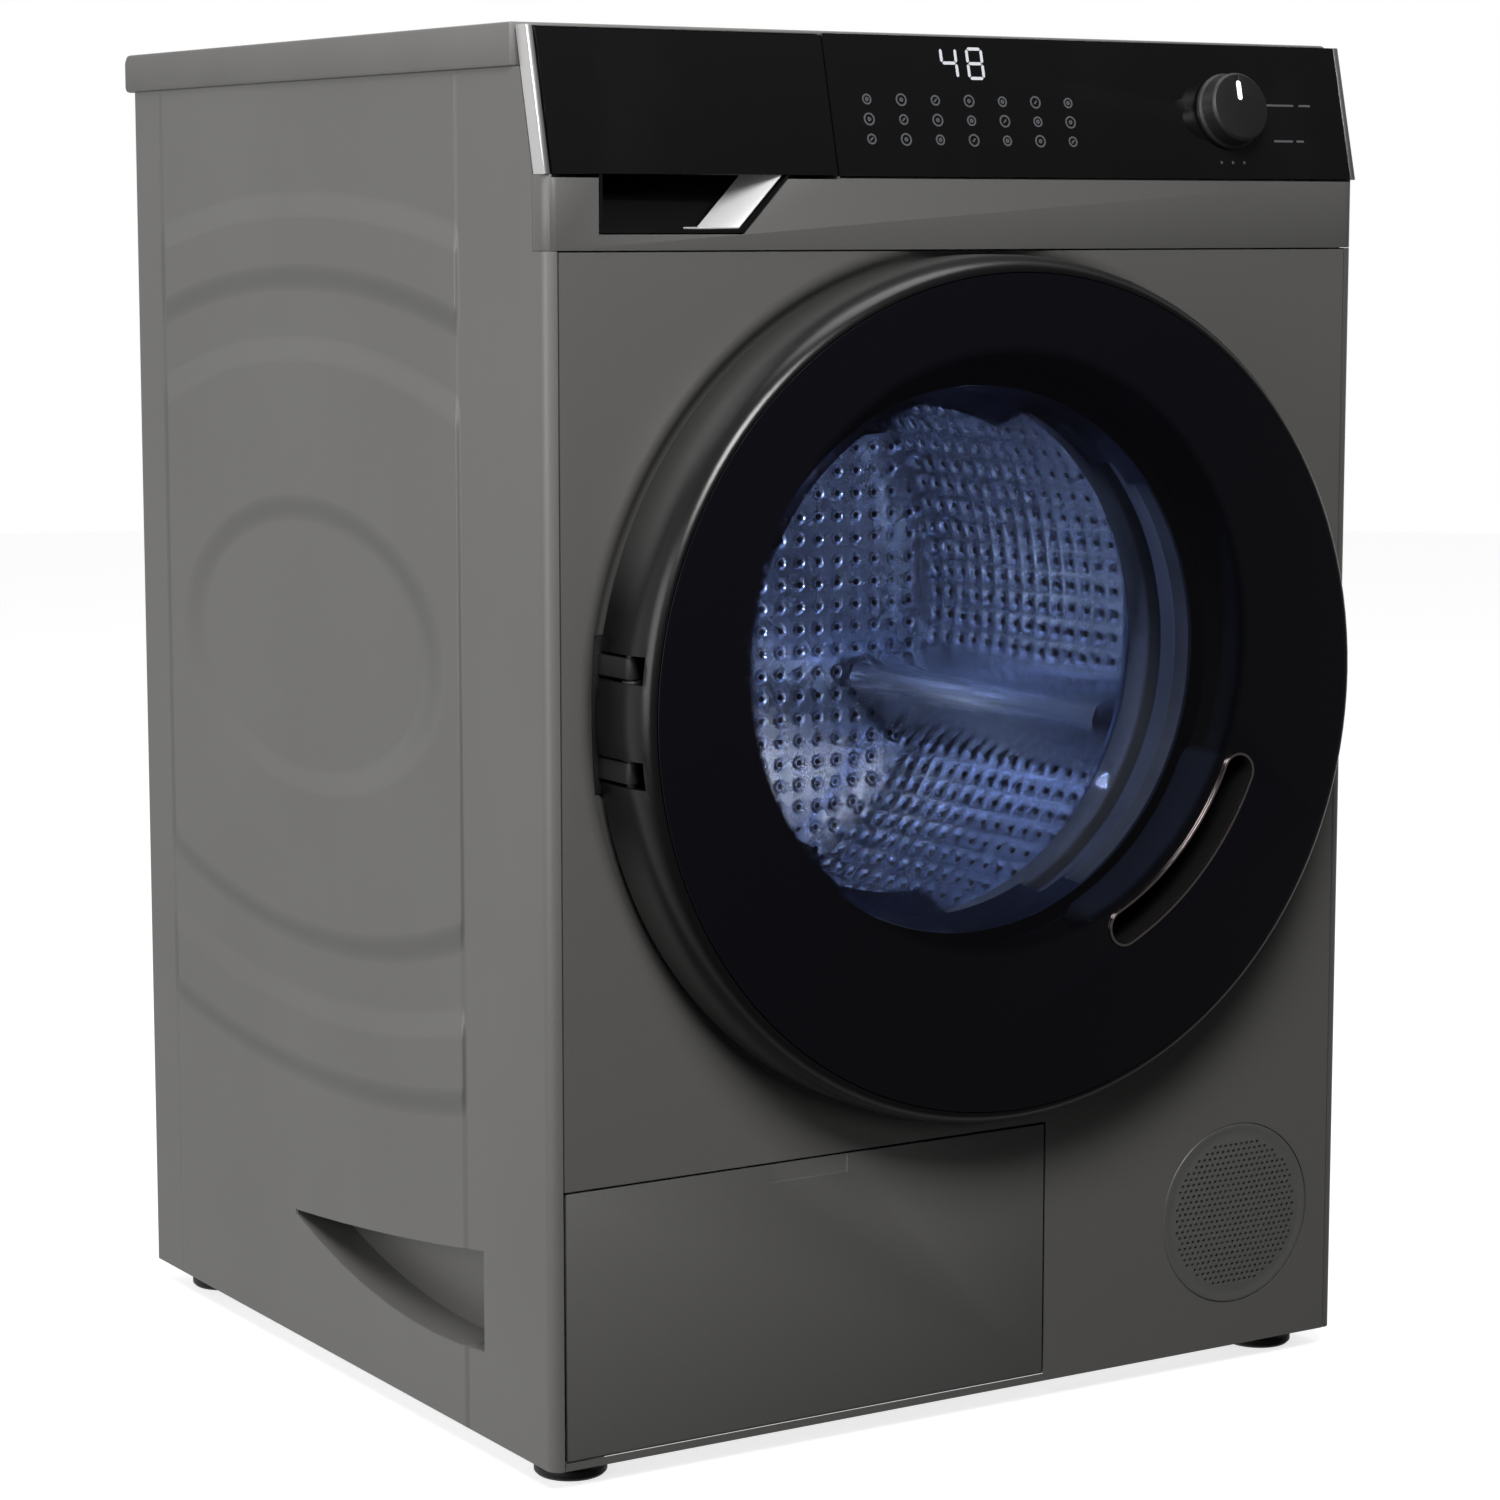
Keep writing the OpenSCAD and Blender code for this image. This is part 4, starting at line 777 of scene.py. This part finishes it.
drum_z = 474.0
drum_r = 244.0
drum_y0 = -192.0
drum_y1 = 140.0
mouth_r = 178.0
rows_round = 96
rows_along = 18
first_row = -166.0
row_pitch = 16.3
row_width = 2 * (drum_r - 0.6) * math.tan(math.pi / rows_round)

# The steel's blue tint is painted light: it stands for the cold light of the drum lamp on the stainless.
drum_steel_painted_blue_light = brushed_metal("drum_steel_painted_blue_light", (0.42, 0.46, 0.55), 0.15, (60, 2, 60))
bpy.ops.object.select_all(action="DESELECT")
bpy.ops.mesh.primitive_circle_add(vertices=8, radius=2.3 * MM, fill_type="NOTHING")
drum_wall = bpy.context.object
bpy.ops.object.mode_set(mode="EDIT")
bpy.ops.transform.translate(value=(0, 0, 1.3 * MM))
bpy.ops.mesh.extrude_edges_move(TRANSFORM_OT_translate={"value": (0, 0, -1.3 * MM)})
bpy.ops.transform.resize(value=(2.2, 2.2, 1), center_override=(0, 0, 0))
bpy.ops.mesh.extrude_edges_move()
bpy.ops.transform.resize(value=(row_width / 2 / 5.06, row_pitch / 2 / 5.06, 1), center_override=(0, 0, 0))
select_where(drum_wall, lambda co: abs(co.x) > 4 * MM and abs(co.y) > 4 * MM)
bpy.ops.transform.resize(value=(math.sqrt(2), math.sqrt(2), 1), center_override=(0, 0, 0))
bpy.ops.mesh.select_all(action="SELECT")
bpy.ops.transform.translate(value=(0, (first_row + row_pitch / 2) * MM, (drum_z + drum_r - 0.8) * MM))
bpy.ops.object.mode_set(mode="OBJECT")
applied(drum_wall, "ARRAY", count=rows_along, use_relative_offset=False, use_constant_offset=True,
        constant_offset_displace=(0, row_pitch * MM, 0), use_merge_vertices=True, merge_threshold=0.0001)
bpy.ops.object.mode_set(mode="EDIT")
bpy.ops.mesh.select_all(action="SELECT")
bpy.ops.mesh.spin(steps=rows_round - 1, dupli=True, angle=2 * math.pi * (rows_round - 1) / rows_round,
                  center=(0, 0, drum_z * MM), axis=(0, 1, 0))
bpy.ops.mesh.select_all(action="SELECT")
bpy.ops.mesh.remove_doubles(threshold=0.0001)
bpy.ops.mesh.normals_make_consistent(inside=False)
bpy.ops.object.mode_set(mode="OBJECT")
applied(drum_wall, "SOLIDIFY", thickness=0.7 * MM, offset=0)
last_row = first_row + rows_along * row_pitch
drum_flange = turned("drum_flange", [
    (mouth_r + 2, drum_y0 + 6), (mouth_r + 2, drum_y0 + 2), (mouth_r + 3, drum_y0 + 0.2),
    (mouth_r + 6, drum_y0 - 0.6), (drum_r - 18, drum_y0 + 3.6), (drum_r - 9, drum_y0 + 6.5),
    (drum_r - 3, drum_y0 + 12), (drum_r, drum_y0 + 20), (drum_r, first_row + 1),
    (drum_r - 1.2, first_row + 1), (drum_r - 1.2, drum_y0 + 20.3), (drum_r - 4, drum_y0 + 13),
    (drum_r - 9.6, drum_y0 + 7.8),
    (drum_r - 18.4, drum_y0 + 4.9), (mouth_r + 6, drum_y0 + 0.8), (mouth_r + 4.2, drum_y0 + 1.2),
    (mouth_r + 3.2, drum_y0 + 3), (mouth_r + 3.2, drum_y0 + 6)], (0, drum_z), steps=128)
drum_hem = turned("drum_hem", [(drum_r - 1.2, last_row - 1), (drum_r, last_row - 1), (drum_r, drum_y1),
                               (drum_r - 1.2, drum_y1)], (0, drum_z), steps=128)
joined(drum_wall, drum_flange, drum_hem)
finished(drum_wall, "drum_wall", drum_steel_painted_blue_light, "drum", ["drum_shell"], 30)

# The back's dots are small pressed dimples on a square pitch, each with a dark dot in its middle: painted
# shade that stands for a hole.
dot_pitch = 16.0 * MM
back_steel = Finish("pressed_drum_back", (0.6, 0.62, 0.66), metallic=1.0)
from_axle = back_steel.vector("SUBTRACT", back_steel.place(), (0, 0, drum_z * MM))
shifted = back_steel.vector("ADD", from_axle, (100 * dot_pitch, 0, 100 * dot_pitch))
in_square = back_steel.vector("MODULO", shifted, (dot_pitch, 1, dot_pitch))
from_middle = back_steel.vector("SUBTRACT", in_square, (dot_pitch / 2, 0, dot_pitch / 2))
dot_r = back_steel.length(back_steel.vector("MULTIPLY", from_middle, (1, 0, 1)))
back_steel.rough(back_steel.noise(60, 3) * 0.16 + 0.18)
# Painted shade: each dimple's middle is darkened to stand for the shade inside a hole.
back_steel.tint(1 - dot_r.above(0.0022, 0.0003), (0.03, 0.03, 0.035))
back_steel.bump(dot_r.above(0.0042, 0.0016), 0.0016, 1.0)
drum_end = turned("drum_end", [
    (0, drum_y1 - 12), (66, drum_y1 - 12), (72, drum_y1 - 11), (88, drum_y1 - 4.6), (94, drum_y1 - 4),
    (drum_r - 34, drum_y1 - 4), (drum_r - 28, drum_y1 - 3.4), (drum_r - 20, drum_y1 - 1.6),
    (drum_r - 1.3, drum_y1 - 1.5), (drum_r - 1.3, drum_y1), (drum_r - 20.4, drum_y1),
    (drum_r - 28.2, drum_y1 - 1.9), (drum_r - 34, drum_y1 - 2.5), (94, drum_y1 - 2.5),
    (87.6, drum_y1 - 3.1), (71.6, drum_y1 - 9.5),
    (66, drum_y1 - 10.5), (0, drum_y1 - 10.5)], (0, drum_z), steps=128)
finished(drum_end, "drum_end", back_steel.material, "drum", ["drum_back"], 35)

paddle_steel = brushed_metal("paddle_steel", (0.75, 0.77, 0.8), 0.2, (20, 1, 20))
eased("lifters", 3.0, paddle_steel, "drum_paddles", 60)
cast_alloy = cast_metal("cast_aluminium", (0.5, 0.51, 0.52))
eased("drum_spider", 0.8, cast_alloy)
eased("drum_pulley", 0.5, cast_alloy)
coated(ground_steel, "drum_bearings")

# A lamp behind a small clear lens at the top of the mouth lights the drum with cold light. A weaker light low
# in the mouth stands for what the steel throws back.
lens_glow = glowing("lamp_lens_glow", (0.55, 0.68, 1.0), 3.0)
lamp_lens = turned("lamp_lens", [(0, -205), (0, -202.6), (4, -203.2), (6, -204), (7, -205.4)],
                   (-84, drum_z + 141), steps=24)
finished(lamp_lens, "lamp_lens", lens_glow, "cabinet")
for name, at, power, colour in (("drum_lamp", (-0.075, -0.165, 0.606), 6.5, (0.4, 0.54, 1.0)),
                                ("drum_fill", (-0.105, -0.14, 0.372), 0.9, (0.62, 0.75, 1.0))):
    bpy.ops.object.light_add(type="POINT", location=at)
    bpy.context.object.name = name
    bpy.context.object.data.energy = power
    bpy.context.object.data.color = colour
    bpy.context.object.data.shadow_soft_size = 0.012


# ---------------------------------------------------------------- tub, weights and motor
# The tub is two shells of filled polypropylene, loaded with cast concrete weights. The motor hangs under it
# and drives the drum through a ribbed belt. Two friction dampers and a tubular heater complete it.


def concrete(name):
    """Cast concrete with blow holes, which are darkened with painted shade."""
    stone = Finish(name, (0.42, 0.41, 0.385))
    lump = stone.noise(90, 5)
    pits = stone.cells(110)
    stone.tint(lump.above(0.5, 0.2) * 0.7, (0.3, 0.29, 0.27))
    # Painted shade: the blow holes are darkened.
    stone.tint((1 - pits.above(0.16, 0.05)) * 0.8, (0.12, 0.115, 0.11))
    stone.rough(lump * 0.2 + 0.75)
    stone.bump(lump * 0.5 + pits.above(0.16, 0.06), 0.0008, 0.7)
    return stone.material


def rubber(name, colour, roughness=0.62):
    """Moulded rubber, a little dusty."""
    soft = Finish(name, colour)
    dust = soft.noise(30, 4)
    soft.tint(dust.above(0.55, 0.2) * 0.5, tuple(min(1, c * 1.5 + 0.01) for c in colour))
    soft.rough(dust * 0.2 + (roughness - 0.1))
    soft.bump(soft.noise(1200, 2), 0.00005, 0.5)
    return soft.material


def ribbed_rubber(name, colour, pitch):
    """Belt rubber, with V-shaped ribs that run round the belt, pitch mm apart along its axles."""
    belt = Finish(name, colour)
    width = belt.axis("Y")
    ribs = width.maths("PINGPONG", width, pitch / 2 * MM)
    dust = belt.noise(60, 3)
    belt.rough(dust * 0.2 + 0.6)
    belt.bump(ribs, 1.0, 0.8)
    return belt.material


tub_pp = moulded_plastic("filled_polypropylene", (0.45, 0.46, 0.47), 0.6, 300, 0.00015)
weight_concrete = concrete("weight_concrete")
belt_rubber = ribbed_rubber("belt_rubber", (0.012, 0.012, 0.012), 2.34)
eased("tub_front", 0.8, tub_pp)
eased("tub_rear", 0.8, tub_pp)
eased("front_counterweight", 2, weight_concrete)
eased("top_counterweight", 2, weight_concrete)
eased("motor_body", 2, cast_alloy)
eased("drive_belt", 0.3, belt_rubber, "ribbed_drive_belt")
coated(ground_steel, "motor_pulley", "damper_rods")
coated(matt_black, "damper_cylinders")
coated(drum_steel_painted_blue_light, "heater")


# ---------------------------------------------------------------- mouth gasket
# A moulded rubber bellows joins the swinging tub to the panel's mouth. Its front lip is clipped round the
# panel by a wire ring, and it has one fold.

grey_rubber = rubber("grey_rubber", (0.045, 0.046, 0.05))
fold_y = front_y / MM + 10
gasket_outline = [
    (-0.3, -3), (-0.3, 11), (4, 11), (4, 14), (-3, 14.4), (-4, 15.5), (-4, 23), (-2, 24.6), (10, 26),
    (12, 28), (12, 32), (10, 34), (-6, 36), (-8, 38), (-8, 52), (6.7, 52), (6.7, 55), (-9, 55),
    (-11, 53), (-11, 35), (-9, 33), (7.5, 31.2), (9, 30.4), (9, 29.6), (7.5, 28.8), (-5, 27.4), (-7, 25),
    (-7, 12), (-10.5, 6), (-9, 4), (-6, 1), (-4, -3)]
gasket = turned("mouth_gasket", [(mouth_r + out, fold_y + back) for out, back in gasket_outline], (0, drum_z),
                steps=128)
alone(gasket)
bpy.ops.object.shade_smooth_by_angle(angle=math.radians(50))
gasket.data.materials.append(grey_rubber)
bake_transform(gasket)
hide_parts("gasket")


# ---------------------------------------------------------------- springs and hoses of the tub
# Two close-wound steel springs carry the tub from the channel across the cabinet. Short rubber bellows take
# the water in from the dispenser and out to the pump.

spring_x = 225.0
spring_y = 60.0
spring_z0 = 690.0
spring_z1 = 803.0
spring_turns = 11
spring_wire = brushed_metal("spring_wire", (0.2, 0.2, 0.21), 0.4, (10, 10, 10))
coils = []
for side in (-1, 1):
    bpy.ops.object.select_all(action="DESELECT")
    bpy.ops.mesh.primitive_circle_add(vertices=10, radius=1.85 * MM, fill_type="NOTHING")
    coil = bpy.context.object
    bpy.ops.object.mode_set(mode="EDIT")
    bpy.ops.transform.rotate(value=math.pi / 2, orient_axis="X", center_override=(0, 0, 0))
    bpy.ops.transform.translate(value=(10 * MM, 0, 0))
    bpy.ops.object.mode_set(mode="OBJECT")
    applied(coil, "SCREW", axis="Z", angle=2 * math.pi, iterations=spring_turns,
            screw_offset=(spring_z1 - spring_z0 - 4) / spring_turns * MM, steps=20, use_merge_vertices=True)
    bpy.ops.object.mode_set(mode="EDIT")
    bpy.ops.mesh.select_all(action="SELECT")
    bpy.ops.mesh.fill_holes(sides=12)
    bpy.ops.mesh.normals_make_consistent(inside=False)
    bpy.ops.object.mode_set(mode="OBJECT")
    coil.location = (side * spring_x * MM, spring_y * MM, (spring_z0 + 2) * MM)
    coils.append(coil)
joined(*coils)
alone(coils[0])
bpy.ops.object.transform_apply(location=True)
bpy.ops.object.shade_smooth_by_angle(angle=math.radians(60))
coils[0].name = "suspension_coils"
coils[0].data.materials.append(spring_wire)
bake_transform(coils[0])
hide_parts("suspension_springs")


def folded_hose(name, centre, radius, bottom, top, folds):
    """A rubber bellows with rounded folds, standing upright."""
    pitch = (top - bottom) / folds
    outside = [(radius - 2 + 3 * math.sin(math.pi * step / 6) ** 2, bottom + pitch * step / 6)
               for step in range(folds * 6 + 1)]
    inside = [(around - 2.4, along) for around, along in reversed(outside)]
    return turned(name, outside + inside, centre, "Z", 40)


black_rubber = rubber("black_rubber", (0.012, 0.012, 0.012))
sump_ends = (132.3, 203.7)
fill_ends = (710.3, 729.7)
sump_hose = folded_hose("sump_hose", (-120, -183), 22, *sump_ends, 6)
fill_hose = folded_hose("fill_hose", (-150, -40), 17, *fill_ends, 2)
for hose, first, second, (bottom, top) in ((sump_hose, "cabinet", "tub", sump_ends),
                                           (fill_hose, "tub", "cabinet", fill_ends)):
    alone(hose)
    bpy.ops.object.shade_smooth_by_angle(angle=math.radians(60))
    hose.data.materials.append(black_rubber)
    bottom * MM
    top * MM
    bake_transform(hose)
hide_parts("tub_hoses")


# ---------------------------------------------------------------- drain hose and pump
# The drain hose is a corrugated rubber tube. It runs back from the pump along the base and up the rear panel,
# to a moulded spigot that takes the outer hose. The pump is white, and its filter cap is black.

hose_bend = 22.0
rib_pitch = 6.0
hose_root = 9.4
hose_crest = 11.0
side_depth = 570.0
rear_y = front_y / MM + side_depth
pump_y = front_y / MM + 134
spigot_x = -240.0
spigot_z = 700.0
low_z = 85.0
runs = [mathutils.Vector(corner) for corner in (
    (-172, pump_y, low_z), (spigot_x, pump_y, low_z), (spigot_x, rear_y - 35, low_z),
    (spigot_x, rear_y - 35, spigot_z), (spigot_x, rear_y - 10, spigot_z))]
path = [runs[0]]
for before, corner, after in zip(runs, runs[1:], runs[2:]):
    enter = (before - corner).normalized() * hose_bend
    leave = (after - corner).normalized() * hose_bend
    path += [corner + enter * (1 - math.sin(turn)) + leave * (1 - math.cos(turn))
             for turn in (math.pi / 12 * step for step in range(7))]
path.append(runs[-1])
bpy.ops.object.select_all(action="DESELECT")
bpy.ops.mesh.primitive_plane_add(size=0.001)
route = bpy.context.object
bpy.ops.object.mode_set(mode="EDIT")
bpy.ops.mesh.merge(type="CENTER")
bpy.ops.transform.translate(value=path[0] * MM)
for start, end in zip(path, path[1:]):
    bpy.ops.mesh.extrude_region_move(TRANSFORM_OT_translate={"value": (end - start) * MM})
bpy.ops.object.mode_set(mode="OBJECT")
bpy.ops.object.convert(target="CURVE")

bpy.ops.object.select_all(action="DESELECT")
bpy.ops.mesh.primitive_circle_add(vertices=24, radius=hose_root * MM, rotation=(0, math.pi / 2, 0))
drain_tube = bpy.context.object
drain_tube.name = "corrugated_drain_hose"
bpy.ops.object.transform_apply(rotation=True)
bpy.ops.object.mode_set(mode="EDIT")
for size in (hose_crest / hose_root, 1, hose_root / hose_crest):
    bpy.ops.mesh.extrude_region_move(TRANSFORM_OT_translate={"value": (rib_pitch / 3 * MM, 0, 0)})
    bpy.ops.transform.resize(value=(1, size, size), center_override=(0, 0, 0))
bpy.ops.object.mode_set(mode="OBJECT")
applied(drain_tube, "ARRAY", fit_type="FIT_CURVE", curve=route, use_merge_vertices=True,
        merge_threshold=0.00002)
applied(drain_tube, "CURVE", object=route, deform_axis="POS_X")
bpy.data.objects.remove(route)
spigot = turned("drain_spigot", [(7, rear_y - 12), (10, rear_y - 12), (10, rear_y - 1.2), (15, rear_y - 1.2),
                                 (15, rear_y + 2), (9.4, rear_y + 2), (10, rear_y + 12), (9, rear_y + 18),
                                 (7, rear_y + 18)], (spigot_x, spigot_z), "Y", 48)
joined(drain_tube, spigot)
finished(drain_tube, "corrugated_drain_hose", black_rubber, "cabinet", ["drain_hose"], 60)
eased("pump_housing", 0.5, white_pp)
eased("filter_cap", 0.5, matt_black)
coated(white_pp, "pump_impeller")
